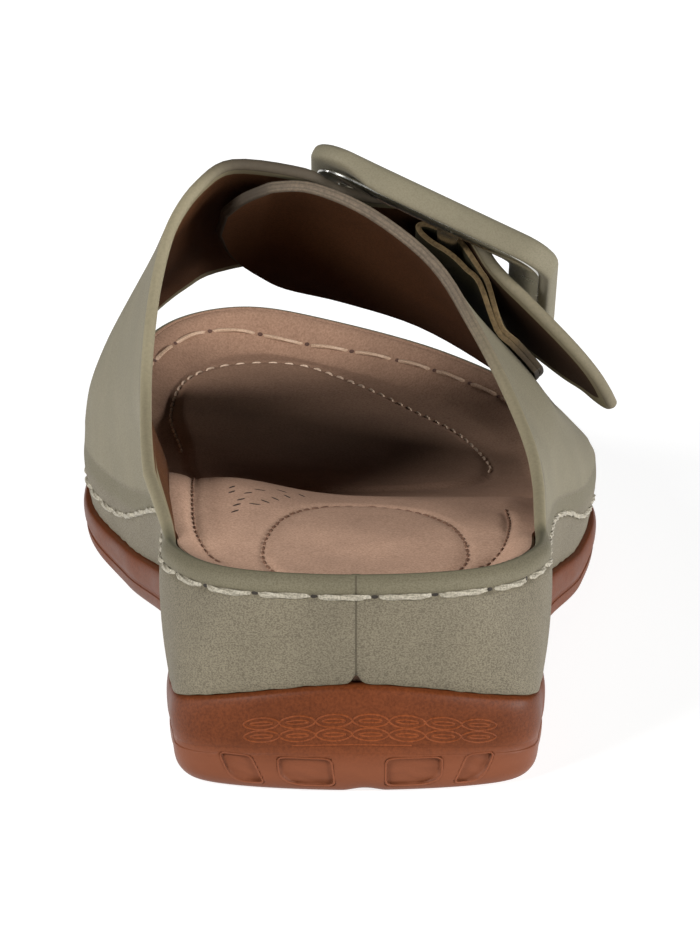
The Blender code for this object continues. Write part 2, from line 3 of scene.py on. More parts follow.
import bmesh
import bpy
import numpy as np
from mathutils import Matrix, Vector, noise
from mathutils.kdtree import KDTree


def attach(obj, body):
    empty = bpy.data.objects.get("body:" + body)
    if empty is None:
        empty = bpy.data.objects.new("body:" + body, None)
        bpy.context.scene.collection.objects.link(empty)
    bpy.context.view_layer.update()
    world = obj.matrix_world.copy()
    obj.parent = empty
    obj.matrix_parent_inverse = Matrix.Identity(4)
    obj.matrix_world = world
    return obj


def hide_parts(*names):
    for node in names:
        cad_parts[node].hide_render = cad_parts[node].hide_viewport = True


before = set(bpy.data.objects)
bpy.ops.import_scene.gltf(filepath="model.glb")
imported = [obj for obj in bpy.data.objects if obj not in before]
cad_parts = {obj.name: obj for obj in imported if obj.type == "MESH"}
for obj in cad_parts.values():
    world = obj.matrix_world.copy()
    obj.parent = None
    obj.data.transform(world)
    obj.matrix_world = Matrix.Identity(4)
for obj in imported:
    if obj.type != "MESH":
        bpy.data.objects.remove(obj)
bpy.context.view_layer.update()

mm = 0.001
print("frame loaded:", sorted(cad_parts))

# the shoe's own sizes in millimetres, heel at y 0, toe at +y, inner side of the foot at -x
shoe = {
    "length": 248.0,
    "ballWidth": 97.0,
    "heelHeight": 41.0,
    "instepHeight": 82.5,
    "leather": 2.2,
    "gap": 0.3,
    "middle": Vector((-2.2, 124.0, 0.0)),
    "innerRound": 2.22,
    "outerRound": (1.48, 1.28),
    "roundRun": (112.0, 168.0),
    "flareClimb": (0.06, 0.22),
    "flareRun": (50.0, 112.0),
    "flatLift": 0.3,
    "fillInset": 2.6,
    "spineShare": 0.76,
    "flush": {"start": (2.0, 14.0), "end": (45.0, 90.0), "high": 0.6},
}

# cross sections from heel to toe: half widths by the ball width, heights by heel and instep height
sections = {
    "inner": (0.0, 0.235, 0.346, 0.363, 0.375, 0.459, 0.540, 0.525, 0.467, 0.378, 0.229),
    "outer": (0.0, 0.235, 0.346, 0.363, 0.387, 0.452, 0.475, 0.387, 0.191, -0.057, -0.229),
    "tread": (1.0, 1.23, 0.99, 0.945, 0.94, 0.98, 0.988, 0.988, 0.975, 0.985, 1.0),
    "rim": (1.0, 0.99, 0.961, 0.878, 0.738, 0.541, 0.459, 0.468, 0.515, 0.566, 0.59),
    "rubber": (0.505, 0.412, 0.345, 0.332, 0.348, 0.240, 0.185, 0.194, 0.240, 0.305, 0.340),
    "seat": (0.87, 0.85, 0.845, 0.85, 0.75, 0.48, 0.33, 0.33, 0.37, 0.405, 0.415),
    "lift": (0.0, 0.0, 0.0, 0.4, 4.4, 1.4, 0.0, 0.3, 2.6, 5.4, 6.6),
    "ridge": (-12.0, -12.0, -12.0, -12.0, -13.0, -15.0, -18.0, -21.0, -24.0, -24.0, -24.0),
    "crown": (1.75, 1.7, 1.6, 1.43, 1.225, 0.97, 0.695, 0.475, 0.38, 0.33, 0.3),
    "flare": (0.0, 0.0, 1.5, 4.0, 4.6, 2.0, 0.2, 0.0, 0.0, 0.0, 0.0),
    "belly": (0.4, 0.8, 1.1, 0.9, 0.3, 0.0, 0.0, 0.0, 0.0, 0.0, 0.0),
}
stations = len(sections["rim"]) - 1


def smoothStep(f):
    f = min(max(f, 0.0), 1.0)
    return f * f * (3.0 - 2.0 * f)


def ease(value, run):  # 0 before the run, 1 after it
    return smoothStep((value - run[0]) / (run[1] - run[0]))


def signedPower(value, power):
    return math.copysign(abs(value) ** power, value)


def blendFour(p0, p1, p2, p3, f):  # smooth run through four values, between the middle two
    return p1 + 0.5 * f * (p2 - p0 + f * (2 * p0 - 5 * p1 + 4 * p2 - p3 + f * (3 * (p1 - p2) + p3 - p0)))


def roundValue(values, position):
    first = math.floor(position)
    near = [values[(first + k) % len(values)] for k in (-1, 0, 1, 2)]
    return blendFour(*near, position - first)


def openValue(values, position):
    last = len(values) - 1
    first = min(max(math.floor(position), 0), last - 1)
    near = [values[min(max(first + k, 0), last)] for k in (-1, 0, 1, 2)]
    return blendFour(*near, position - first)


def bothSides(column, size=1.0):  # up the inner side, back down the outer side
    up = [size * v for v in sections[column]]
    return up + up[-2:0:-1]


rimRound = bothSides("rim", shoe["heelHeight"])
rubberRound = bothSides("rubber", shoe["heelHeight"])
seatRound = bothSides("seat", shoe["heelHeight"])
liftRound = bothSides("lift")
ridgeRound = bothSides("ridge")
crownRound = bothSides("crown", shoe["instepHeight"])
flareRound = bothSides("flare")
bellyRound = bothSides("belly")
innerSide = [-shoe["ballWidth"] * v for v in sections["inner"]]
outerSide = [shoe["ballWidth"] * v for v in sections["outer"]]
soleInner = [(i + o + (i - o) * t) / 2 for i, o, t in zip(innerSide, outerSide, sections["tread"])]
soleOuter = [(i + o + (o - i) * t) / 2 for i, o, t in zip(innerSide, outerSide, sections["tread"])]
rimSide = innerSide + outerSide[-2:0:-1]
soleSide = soleInner + soleOuter[-2:0:-1]


def at(values, angle):  # angle 0 at the heel, pi at the toe, inner side between them
    return roundValue(values, angle / math.pi * stations)


def angleAt(y):
    return math.acos(max(-1.0, min(1.0, 1.0 - 2.0 * y / shoe["length"])))


def outline(angle, level=1.0):  # level 0 at the sole, 1 at the rim
    x = at(soleSide, angle) * (1.0 - level) + at(rimSide, angle) * level
    return Vector((x, shoe["length"] / 2 * (1.0 - math.cos(angle)), 0.0))


def outward(angle, level=1.0):
    run = outline(angle + 0.02, level) - outline(angle - 0.02, level)
    return Vector((-run.y, run.x, 0.0)).normalized()


def treadHeight(y):
    return max(0.0, at(liftRound, angleAt(y)) - shoe["flatLift"])


def spine(angle):
    y = shoe["length"] / 2 * (1.0 - shoe["spineShare"] * math.cos(angle))
    return (outline(angleAt(y)) + outline(2 * math.pi - angleAt(y))) / 2


wallSwell = (-0.6, -0.1, 0.2, 0.3, 0.0)  # from the rubber line up to the rim


def wallPoint(angle, height, inset=0.0):
    low = at(rubberRound, angle) + shoe["gap"]
    swell = openValue(wallSwell, height * (len(wallSwell) - 1))
    swell += at(bellyRound, angle) * 4.0 * height * (1.0 - height)
    y = outline(angle).y
    flush = shoe["flush"]  # level with the rubber beside the heel
    beside = ease(y, flush["start"]) * (1.0 - ease(y, flush["end"]))
    swell += beside * max(0.0, 1.0 - height / flush["high"]) ** 2
    point = outline(angle, height) + outward(angle, height) * (swell - inset)
    point.z = low + height * (at(rimRound, angle) - low)
    return point


def wallAtDepth(angle, depth, inset=0.0):  # depth below the rim
    low = at(rubberRound, angle) + shoe["gap"]
    return wallPoint(angle, 1.0 - depth / (at(rimRound, angle) - low), inset)


def archPoint(y, climb):  # climb 0 at the inner rim, 1 at the ridge, 2 at the outer rim
    angle = angleAt(y)
    theta = climb * math.pi / 2
    inner = theta <= math.pi / 2
    forward = ease(y, shoe["roundRun"])
    outerRound = shoe["outerRound"][0] + forward * (shoe["outerRound"][1] - shoe["outerRound"][0])
    power = 2.0 / (shoe["innerRound"] if inner else outerRound)
    side = outline(angle if inner else 2 * math.pi - angle).x
    if inner:
        reach = ease(y, shoe["flareRun"])
        full = shoe["flareClimb"][0] + reach * (shoe["flareClimb"][1] - shoe["flareClimb"][0])
        side -= at(flareRound, angle) * smoothStep(climb / full)
    ridge, rim, crown = at(ridgeRound, angle), at(rimRound, angle), at(crownRound, angle)
    x = ridge + (side - ridge) * abs(math.cos(theta)) ** power
    return Vector((x, y, rim + (crown - rim) * max(0.0, math.sin(theta)) ** power))


def archNormal(y, climb):
    climb = min(max(climb, 0.03), 1.97)
    over = archPoint(y, climb + 0.02) - archPoint(y, climb - 0.02)
    along = archPoint(y + 1.0, climb) - archPoint(y - 1.0, climb)
    return over.cross(along).normalized()


buckle = {
    "at": Vector((14.0, 140.4, 64.6)),
    "turn": Matrix.Rotation(math.radians(-29.5), 3, "X") @ Matrix.Rotation(math.radians(26.0), 3, "Y"),
    "along": 51.5,
    "across": 56.0,
}


def bucklePoint(along, across, rise):
    return buckle["at"] + buckle["turn"] @ Vector((along, across, rise))


def spread(start, stop, count):
    return [start + (stop - start) * k / count for k in range(count + 1)]


def throughRows(keys, steps, straightFirst=False):  # smooth rows through a few key rows
    keys = [np.array([tuple(p) for p in row]) for row in keys]
    last = len(keys) - 1
    rows = [keys[0]]
    for k in range(last):
        p0, p1, p2, p3 = keys[max(k - 1, 0)], keys[k], keys[k + 1], keys[min(k + 2, last)]
        for f in spread(0.0, 1.0, steps)[1:]:
            straight = straightFirst and k == 0
            rows.append(p1 + (p2 - p1) * f if straight else blendFour(p0, p1, p2, p3, f))
    return rows


# mesh helpers: a skin gathers points, faces and per-point marks
def newSkin(*marks):
    return {"points": [], "faces": [], "marks": {name: [] for name in marks}}


def addRow(skin, points, **marks):
    first = len(skin["points"])
    skin["points"] += [tuple(p) for p in points]
    for name, values in skin["marks"].items():
        given = marks.get(name, 0.0)
        values += list(given) if hasattr(given, "__len__") else [given] * len(points)
    return list(range(first, first + len(points)))


def joinRows(skin, low, high, closed=False):
    count = len(low)
    for k in range(count if closed else count - 1):
        n = (k + 1) % count
        skin["faces"].append((low[n], low[k], high[k], high[n]))


def meshOf(skin, name, recalc=False):
    mesh = bpy.data.meshes.new(name)
    middle = shoe["middle"]
    mesh.from_pydata([(np.array(p) - middle) * mm for p in skin["points"]], [], skin["faces"])
    for mark, values in skin["marks"].items():
        layer = mesh.attributes.new(mark, "FLOAT", "POINT")
        layer.data.foreach_set("value", np.array(values, np.float32))
    if recalc:
        bm = bmesh.new()
        bm.from_mesh(mesh)
        bmesh.ops.recalc_face_normals(bm, faces=bm.faces)
        bm.to_mesh(mesh)
        bm.free()
    mesh.shade_smooth()
    return mesh


def objectOf(mesh, name, *materials):
    for material in materials:
        mesh.materials.append(material)
    obj = bpy.data.objects.new(name, mesh)
    bpy.context.scene.collection.objects.link(obj)
    return obj


def skinObject(skin, name, *materials):
    return objectOf(meshOf(skin, name, recalc=True), name, *materials)


def settle(obj):  # bakes the modifiers into the mesh
    bpy.context.view_layer.update()
    dg = bpy.context.evaluated_depsgraph_get()
    baked = bpy.data.meshes.new_from_object(obj.evaluated_get(dg), depsgraph=dg)
    old = obj.data
    obj.modifiers.clear()
    obj.data = baked
    bpy.data.meshes.remove(old)
    baked.name = obj.name
    return obj


def combine(obj, other, operation, sharp):  # cuts or joins with another object, then sharpens the creases
    mod = obj.modifiers.new("combine", "BOOLEAN")
    mod.operation = operation
    mod.solver = "EXACT"
    mod.object = other
    settle(obj)
    bpy.data.objects.remove(other, do_unlink=True)
    obj.data.shade_smooth()
    obj.data.set_sharp_from_angle(angle=math.radians(sharp))
    return obj


# material helpers
def newMaterial(name, colour, roughness, *settings):  # settings are pairs of a shader input and its value
    material = bpy.data.materials.new(name)
    material.use_nodes = True
    shader = material.node_tree.nodes["Principled BSDF"]
    for socket, value in (("Base Color", (*colour, 1.0)), ("Roughness", roughness), *settings):
        shader.inputs[socket].default_value = value
    return material, material.node_tree, shader


def addNode(tree, kind, **settings):
    node = tree.nodes.new(kind)
    for key, value in settings.items():
        if key.startswith("in_"):
            name = key[3:].replace("_", " ")
            node.inputs[int(name) if name.isdigit() else name].default_value = value
        else:
            setattr(node, key, value)
    return node


def ownPlace(tree):
    return addNode(tree, "ShaderNodeTexCoord").outputs["Object"]


def noiseOf(tree, place, scale, detail=2.0, rough=0.55, stretch=None):
    if stretch:
        mapping = addNode(tree, "ShaderNodeMapping", in_Scale=stretch)
        tree.links.new(place, mapping.inputs["Vector"])
        place = mapping.outputs["Vector"]
    node = addNode(tree, "ShaderNodeTexNoise", in_Scale=scale, in_Detail=detail, in_Roughness=rough)
    tree.links.new(place, node.inputs["Vector"])
    return node.outputs["Fac"]


def ramp(tree, value, stops):  # stops of (place, grey or colour)
    node = addNode(tree, "ShaderNodeValToRGB")
    while len(node.color_ramp.elements) < len(stops):
        node.color_ramp.elements.new(0.5)
    for element, (place, colour) in zip(node.color_ramp.elements, stops):
        element.position = place
        colour = (colour,) * 3 if isinstance(colour, float) else colour
        element.color = (*colour, 1.0)
    tree.links.new(value, node.inputs["Fac"])
    return node.outputs["Color"]


def rangeOf(tree, value, low, high, to=(0.0, 1.0), smooth=True):
    node = addNode(tree, "ShaderNodeMapRange", in_1=low, in_2=high, in_3=to[0], in_4=to[1])
    node.interpolation_type = "SMOOTHSTEP" if smooth else "LINEAR"
    tree.links.new(value, node.inputs[0])
    return node.outputs[0]


def mixColour(tree, share, a, b, mode="MIX"):
    node = addNode(tree, "ShaderNodeMix", data_type="RGBA", blend_type=mode)
    for socket, value in ((node.inputs["Factor"], share), (node.inputs[6], a), (node.inputs[7], b)):
        if isinstance(value, float):
            socket.default_value = value
        elif isinstance(value, tuple):
            socket.default_value = (*value, 1.0)
        else:
            tree.links.new(value, socket)
    return node.outputs[2]


def grained(tree, value, low, high, dark, light):  # dark to light as a noise goes from low to high
    return mixColour(tree, ramp(tree, value, ((low, 0.0), (high, 1.0))), dark, light)


def toned(tree, colour, value, low, high):  # a colour times a grey between two (place, grey) stops
    return mixColour(tree, 1.0, colour, ramp(tree, value, (low, high)), "MULTIPLY")


def axisOf(tree, place, axis):
    node = addNode(tree, "ShaderNodeSeparateXYZ")
    tree.links.new(place, node.inputs[0])
    return node.outputs[axis]


def mathOf(tree, operation, a, b=0.0):
    node = addNode(tree, "ShaderNodeMath", operation=operation)
    for socket, value in zip(node.inputs, (a, b)):
        if isinstance(value, float):
            socket.default_value = value
        else:
            tree.links.new(value, socket)
    return node.outputs[0]


def markOf(tree, name):
    return addNode(tree, "ShaderNodeAttribute", attribute_name=name).outputs["Fac"]


def bumpOf(tree, shader, *layers):  # layers of (height, strength, distance in mm), finest last
    normal = None
    for height, strength, distance in layers:
        node = addNode(tree, "ShaderNodeBump", in_Strength=strength, in_Distance=distance * mm)
        tree.links.new(height, node.inputs["Height"])
        if normal:
            tree.links.new(normal, node.inputs["Normal"])
        normal = node.outputs["Normal"]
    tree.links.new(normal, shader.inputs["Normal"])


# finishes
leatherLook = {
    "light": (0.145, 0.124, 0.083),
    "dark": (0.078, 0.065, 0.043),
    "strap": (0.168, 0.150, 0.098),
    "rimTint": (0.100, 0.089, 0.051),
    "line": (0.050, 0.040, 0.024),
    "edgeLine": 1.5,
    "turned": (0.190, 0.163, 0.100),
    "layerEdge": (0.122, 0.090, 0.060),
    # painted shade colour for edges under the buckle and at the tab's ends
    "edgeShadeColour": (0.032, 0.021, 0.011),
    # painted shade colour for the lining under the strap's tail
    "tailShade": (0.022, 0.012, 0.006),
}
edgeLines = (0.36, 0.64)


def sageLeather(name, strapMarks, grainShare):
    gloss = (("Sheen Weight", 0.03), ("Sheen Roughness", 0.5), ("Specular IOR Level", 0.3))
    material, tree, shader = newMaterial(name, leatherLook["light"], 0.72, *gloss)
    place = ownPlace(tree)
    speckle = noiseOf(tree, place, 3000.0, 2.0, 0.7, (1.0, 1.0, 1.4))
    cloud = noiseOf(tree, place, 70.0, 3.0)
    share = grainShare
    if strapMarks:
        share = rangeOf(tree, markOf(tree, "onStrap"), 0.0, 1.0, (grainShare, 0.4 * grainShare))
    grainy = grained(tree, speckle, 0.36, 0.58, leatherLook["dark"], leatherLook["light"])
    colour = mixColour(tree, share, leatherLook["strap"], grainy)
    colour = toned(tree, colour, cloud, (0.3, 0.9), (0.7, 1.05))
    if strapMarks:
        rim = rangeOf(tree, markOf(tree, "rimDepth"), 2.6, 4.2, (0.55, 0.0))
        colour = mixColour(tree, rim, colour, leatherLook["rimTint"])
        off = mathOf(tree, "SUBTRACT", markOf(tree, "edge"), leatherLook["edgeLine"])
        line = rangeOf(tree, mathOf(tree, "ABSOLUTE", off), 0.1, 0.32, (0.7, 0.0))
        line = mathOf(tree, "MULTIPLY", line, markOf(tree, "onStrap"))
        colour = mixColour(tree, line, colour, leatherLook["line"])
        seam = rangeOf(tree, markOf(tree, "seam"), 0.06, 0.24, (0.85, 0.0))
        colour = mixColour(tree, seam, colour, leatherLook["line"])
    tree.links.new(colour, shader.inputs["Base Color"])
    tree.links.new(rangeOf(tree, speckle, 0.3, 0.7, (0.82, 0.66)), shader.inputs["Roughness"])
    pebble = addNode(tree, "ShaderNodeTexVoronoi", in_Scale=620.0, feature="SMOOTH_F1")
    tree.links.new(place, pebble.inputs["Vector"])
    bumpOf(tree, shader, (pebble.outputs["Distance"], 0.12, 0.25), (speckle, 0.35, 0.16))
    return material


def napLeather(name, light, dark, turnedEdge=None, paintedLight=None):
    material, tree, shader = newMaterial(name, light, 0.9, ("Specular IOR Level", 0.12))
    place = ownPlace(tree)
    nap = noiseOf(tree, place, 2300.0, 3.0, 0.7)
    cloud = noiseOf(tree, place, 55.0, 4.0, 0.6)
    colour = grained(tree, nap, 0.3, 0.62, dark, light)
    colour = toned(tree, colour, cloud, (0.3, 0.84), (0.7, 1.08))
    if paintedLight:  # painted light: paler towards the heel and darker towards the toe, by place along the shoe
        share = rangeOf(tree, axisOf(tree, place, "Y"), *paintedLight["run"], smooth=False)
        paintedTone = mixColour(tree, ramp(tree, share, paintedLight["shares"]), paintedLight["least"], paintedLight["most"])
        colour = mixColour(tree, 1.0, colour, paintedTone, "MULTIPLY")
    if turnedEdge:
        # painted shade: the lining darkens under the strap's tail, past the buckle
        shaded = mathOf(tree, "MULTIPLY", markOf(tree, "tail"), 0.7)
        colour = mixColour(tree, shaded, colour, leatherLook["tailShade"])
        turned = rangeOf(tree, markOf(tree, "edge"), 2.3, 2.8, (1.0, 0.0))
        turned = mathOf(tree, "MULTIPLY", turned, markOf(tree, "turned"))
        colour = mixColour(tree, turned, colour, turnedEdge)
    tree.links.new(colour, shader.inputs["Base Color"])
    bumpOf(tree, shader, (cloud, 0.1, 1.0), (nap, 0.35, 0.15))
    return material


def grainyEdge(tree, light, dark):
    place = ownPlace(tree)
    grain = noiseOf(tree, place, 1500.0, 3.0, 0.7)
    layer = noiseOf(tree, place, 160.0, 2.0)
    colour = grained(tree, grain, 0.32, 0.62, dark, light)
    return toned(tree, colour, layer, (0.3, 0.86), (0.7, 1.06)), grain


def edgeLine(tree, colour, place, wide, strength, dark):  # thin line at a share of an edge's thickness
    off = mathOf(tree, "ABSOLUTE", mathOf(tree, "SUBTRACT", markOf(tree, "across"), place))
    line = rangeOf(tree, off, 0.3 * wide, wide, (1.0, 0.0))
    return mixColour(tree, mathOf(tree, "MULTIPLY", line, strength), colour, dark)


def strapEdge(name):  # turned edge that shows its layers where the marks say so
    material, tree, shader = newMaterial(name, leatherLook["turned"], 0.8)
    look = leatherLook
    even = mixColour(tree, markOf(tree, "onStrap"), look["rimTint"], look["turned"])
    layered, grain = grainyEdge(tree, look["layerEdge"], tuple(0.72 * v for v in look["layerEdge"]))
    for line in edgeLines:
        layered = edgeLine(tree, layered, line, 0.06, 0.55, look["line"])
    colour = mixColour(tree, markOf(tree, "layer"), even, layered)
    # painted shade: the edge darkens where it runs under the buckle
    colour = mixColour(tree, markOf(tree, "hidden"), colour, look["edgeShadeColour"])
    colour = toned(tree, colour, grain, (0.3, 0.88), (0.62, 1.06))
    tree.links.new(colour, shader.inputs["Base Color"])
    bumpOf(tree, shader, (grain, 0.25, 0.12))
    return material


def rawEdge(name, light, dark, seamLight):
    material, tree, shader = newMaterial(name, light, 0.8)
    colour, grain = grainyEdge(tree, light, dark)
    colour = edgeLine(tree, colour, 0.12, 0.14, 0.8, seamLight)
    # painted shade: the raw edge darkens towards the tab's ends, where they lie against the strap
    colour = mixColour(tree, markOf(tree, "hidden"), colour, leatherLook["edgeShadeColour"])
    tree.links.new(colour, shader.inputs["Base Color"])
    bumpOf(tree, shader, (grain, 0.3, 0.15))
    return material


def mottled(name, light, dark, scale):
    material, tree, shader = newMaterial(name, light, 0.9)
    speck = noiseOf(tree, ownPlace(tree), scale, 3.0, 0.6)
    tree.links.new(grained(tree, speck, 0.35, 0.65, dark, light), shader.inputs["Base Color"])
    return material


rubberLook = {
    "dark": (0.072, 0.0172, 0.0043),
    "light": (0.110, 0.0280, 0.0075),
    "low": (0.150, 0.0480, 0.0220),
    "lowRun": (0.0045, 0.0105),
    "heelRun": (-0.09, -0.06),
}


def brownRubber(name, lift):
    material, tree, shader = newMaterial(name, rubberLook["light"], 0.45, ("Specular IOR Level", 0.12))
    place = ownPlace(tree)
    grain = noiseOf(tree, place, 1900.0, 3.0, 0.7)
    smear = noiseOf(tree, place, 38.0, 4.0, 0.6, (1.0, 1.0, 2.5))
    # a lift above 1 makes a lighter copy of the rubber, a painted highlight
    dark, light, low = [tuple(lift * v for v in rubberLook[tone]) for tone in ("dark", "light", "low")]
    colour = grained(tree, grain, 0.34, 0.62, dark, light)
    nearFloor = rangeOf(tree, axisOf(tree, place, "Z"), *rubberLook["lowRun"], (0.9, 0.0))
    nearHeel = rangeOf(tree, axisOf(tree, place, "Y"), *rubberLook["heelRun"], (1.0, 0.0))
    colour = mixColour(tree, mathOf(tree, "MULTIPLY", nearFloor, nearHeel), colour, low)
    colour = toned(tree, colour, smear, (0.28, 0.82), (0.72, 1.12))
    tree.links.new(colour, shader.inputs["Base Color"])
    tree.links.new(rangeOf(tree, smear, 0.3, 0.7, (0.4, 0.56)), shader.inputs["Roughness"])
    bumpOf(tree, shader, (grain, 0.3, 0.12))
    return material


def waxedThread(name, light, dark):
    material, tree, shader = newMaterial(name, light, 0.55)
    fibre = noiseOf(tree, ownPlace(tree), 2600.0, 2.0)
    tree.links.new(grained(tree, fibre, 0.3, 0.6, dark, light), shader.inputs["Base Color"])
    bumpOf(tree, shader, (fibre, 0.4, 0.08))
    return material


def nickelPlate():
    material, tree, shader = newMaterial("nickel plate", (0.56, 0.555, 0.52), 0.2, ("Metallic", 1.0))
    haze = noiseOf(tree, ownPlace(tree), 260.0, 3.0)
    tree.links.new(rangeOf(tree, haze, 0.3, 0.7, (0.14, 0.28)), shader.inputs["Roughness"])
    return material


upperLeather = sageLeather("sage leather", True, 1.0)
buckleLeather = sageLeather("covered buckle leather", False, 0.35)
lining = napLeather("brown lining", (0.084, 0.032, 0.0115), (0.052, 0.020, 0.007), leatherLook["turned"])
foldedEdge = strapEdge("folded edge")
bedPaintedLight = {  # painted light: paler at the heel than at the toe
    "run": (-0.124, 0.124),
    "shares": ((0.0, 1.0), (0.2, 0.95), (0.6, 0.32), (0.85, 0.0)),
    "least": (0.76, 0.745, 0.75),
    "most": (1.52, 1.57, 1.66),
}
bedSuede = napLeather("footbed suede", (0.380, 0.236, 0.160), (0.258, 0.151, 0.096), paintedLight=bedPaintedLight)
rubber = brownRubber("brown rubber", 1.0)
# lighter copies of the rubber: painted highlight on the moulded eyes, the raised line and the panel rims
rubberRidgeHighlight = brownRubber("moulded rubber ridge", 1.6)
rubberRimHighlight = brownRubber("moulded rubber rim", 1.12)
creamThread = waxedThread("cream thread", (0.32, 0.29, 0.222), (0.135, 0.118, 0.086))
bedThread = waxedThread("footbed thread", (0.20, 0.105, 0.065), (0.12, 0.06, 0.038))
padThread = waxedThread("pad thread", (0.62, 0.46, 0.34), (0.44, 0.31, 0.22))
toeThread = waxedThread("toe thread", (0.46, 0.315, 0.215), (0.32, 0.205, 0.135))
nickel = nickelPlate()
tabLeather = napLeather("tab leather", (0.100, 0.088, 0.050), (0.060, 0.052, 0.028))
tabEdge = rawEdge("tab raw edge", (0.22, 0.145, 0.062), (0.105, 0.068, 0.028), (0.32, 0.225, 0.110))
holeDark = mottled("pierced hole", (0.026, 0.019, 0.013), (0.012, 0.009, 0.006), 900.0)
slitDark = mottled("pierced slit", (0.05, 0.025, 0.016), (0.028, 0.014, 0.009), 900.0)
toeHole = mottled("toe stitch hole", (0.10, 0.045, 0.03), (0.05, 0.024, 0.016), 900.0)
print("finishes made")

# running stitch round the rim
rimStitch = {
    "depth": 3.7,
    "waist": {"y": 88.0, "long": 20.0, "rise": 1.3, "outer": 0.35},
    "ball": {"start": (95.0, 140.0), "end": (185.0, 220.0), "drop": 3.2},
    "fine": {"run": (50.0, 90.0), "share": 0.35},
    "pitch": 11.0,
    "length": 9.7,
    "radius": 0.6,
    "firstHole": -3.4,
    "lift": 0.36,
    "sink": 0.75,
    "turns": 0.4,
    "strands": 5,
    "strandDepth": 0.2,
    "sides": 20,
}


def pathTree(points):
    tree = KDTree(len(points))
    for k, p in enumerate(points):
        tree.insert(p, k)
    tree.balance()
    return tree


def pathTable(points):  # running length at each point
    run = [0.0]
    for a, b in zip(points, points[1:]):
        run.append(run[-1] + (b - a).length)
    return run


def stitchDepth(angle):  # higher at the waist and lower beside the ball than at the heel
    y = outline(angle).y
    ball, waist = rimStitch["ball"], rimStitch["waist"]
    beside = ease(y, ball["start"]) * (1.0 - ease(y, ball["end"]))
    near = (1.0 if angle < math.pi else waist["outer"]) * math.exp(-((y - waist["y"]) / waist["long"]) ** 2)
    return rimStitch["depth"] + ball["drop"] * beside - waist["rise"] * near


ringSteps = 1440
ringAngles = spread(0.0, 2 * math.pi, ringSteps)
ringPoints = [wallAtDepth(a, stitchDepth(a)) for a in ringAngles]
ringRun = pathTable(ringPoints)
ringLength = ringRun[-1]
stitchCount = round(ringLength / rimStitch["pitch"])
stitchPitch = ringLength / stitchCount


def runAt(angle):
    return float(np.interp(angle % (2 * math.pi), ringAngles, ringRun))


def seamAway(angle):  # distance along the rim to the heel seam
    return min(runAt(angle), ringLength - runAt(angle))


def bell(size, *offsets):
    return size * math.exp(-sum(v * v for v in offsets))


def holeOffset(run):  # distance along the rim to the nearest stitch hole
    f = (run - rimStitch["firstHole"]) / stitchPitch
    return abs(f - round(f)) * stitchPitch


# upper: the wrap round the wedge and both straps, one skin thickened inwards
upperWrap = {
    "columns": {"inner": 132, "toe": 100, "outer": 96, "heel": 120},
    "depths": (0.0, 0.35, 0.8, 1.3, 1.9, 2.5, 2.9, 3.2, 3.45, 3.7, 3.95, 4.2, 4.5, 4.9, 5.5, 6.2, 7.0),
    "lowerRows": 9,
    "rowSteps": 5,
    "seam": {"deep": 0.32, "wide": 0.45},
    "dent": {"deep": 0.5, "wide": 0.6},
    "hole": {"deep": 0.35, "wide": 0.8},
    "notch": {"high": 1.4, "wide": 0.8},
    "rawEdge": 0.28,
    "roll": 0.3,
    "rollIn": 0.7,
    "rollDepth": 1.4,
}
innerStrap = {
    "climb": (0.0, 0.05, 0.16, 0.30, 0.45, 0.60, 0.75, 0.88),
    "back": (33.0, 57.0, 85.0, 97.0, 106.0, 112.0, 116.5, 119.5),
    "front": (208.0, 207.0, 204.0, 200.0, 195.5, 191.0, 187.0, 182.5),
    "lap": (6.5, 5.4),
    "lapStart": 0.30,
}
outerStrap = {
    "climb": (0.0, 0.09, 0.17, 0.28, 0.42, 0.57, 0.72, 0.86, 1.0, 1.06, 1.12, 1.17),
    "back": (41.0, 56.0, 71.0, 90.0, 105.0, 114.0, 118.5, 120.0, 121.0, 121.5, 123.5, 128.0),
    "front": (166.0, 162.5, 159.0, 157.0, 158.5, 161.5, 170.5, 174.0, 169.0, 161.0, 151.0, 139.0),
}
# how far the outer strap's back edge leans in to the foot and stands up, for each of its rows
edgeLean = {
    "in": (0.0, 0.2, 0.7, 2.6, 2.8, 0.2, 0.0, 0.0, 0.0, 0.0, 0.0, 0.0),
    "up": (0.0, 0.0, 0.0, 0.0, 0.0, 1.2, 2.5, 2.2, 1.0, 0.3, 0.0, 0.0),
    "run": 30.0,
}
# the inner strap through the buckle: place along it, rise of its outer face, twist, half width
buckleRun = {
    "along": (
        -25.0, -19.0, -13.0, -7.0, -1.0, 4.0, 9.0, 14.0, 18.0,
        22.0, 27.0, 33.0, 37.5, 41.0, 43.4, 44.6, 44.95,
    ),
    "rise": (
        -2.6, -1.7, 0.3, 2.6, 4.2, 4.6, 2.9, -0.1, -2.0,
        -3.5, -5.0, -6.8, -8.1, -9.5, -10.6, -11.2, -11.4,
    ),
    "twist": (0.0, 0.0, 0.0, 0.0, 0.0, 0.0, 0.3, 0.5, 0.3, 0.1, 0.3, 0.5, 0.7, 0.5, 0.3, 0.1, 0.0),
    "back": (
        26.5, 22.0, 19.3, 19.0, 19.0, 18.8, 18.2, 17.5, 17.0,
        16.6, 16.0, 14.6, 12.4, 9.2, 5.4, 2.2, 0.8,
    ),
    "front": (
        30.0, 22.2, 19.3, 19.0, 19.0, 18.8, 18.2, 17.5, 17.0,
        16.6, 16.0, 14.6, 12.4, 9.2, 5.4, 2.2, 0.8,
    ),
}


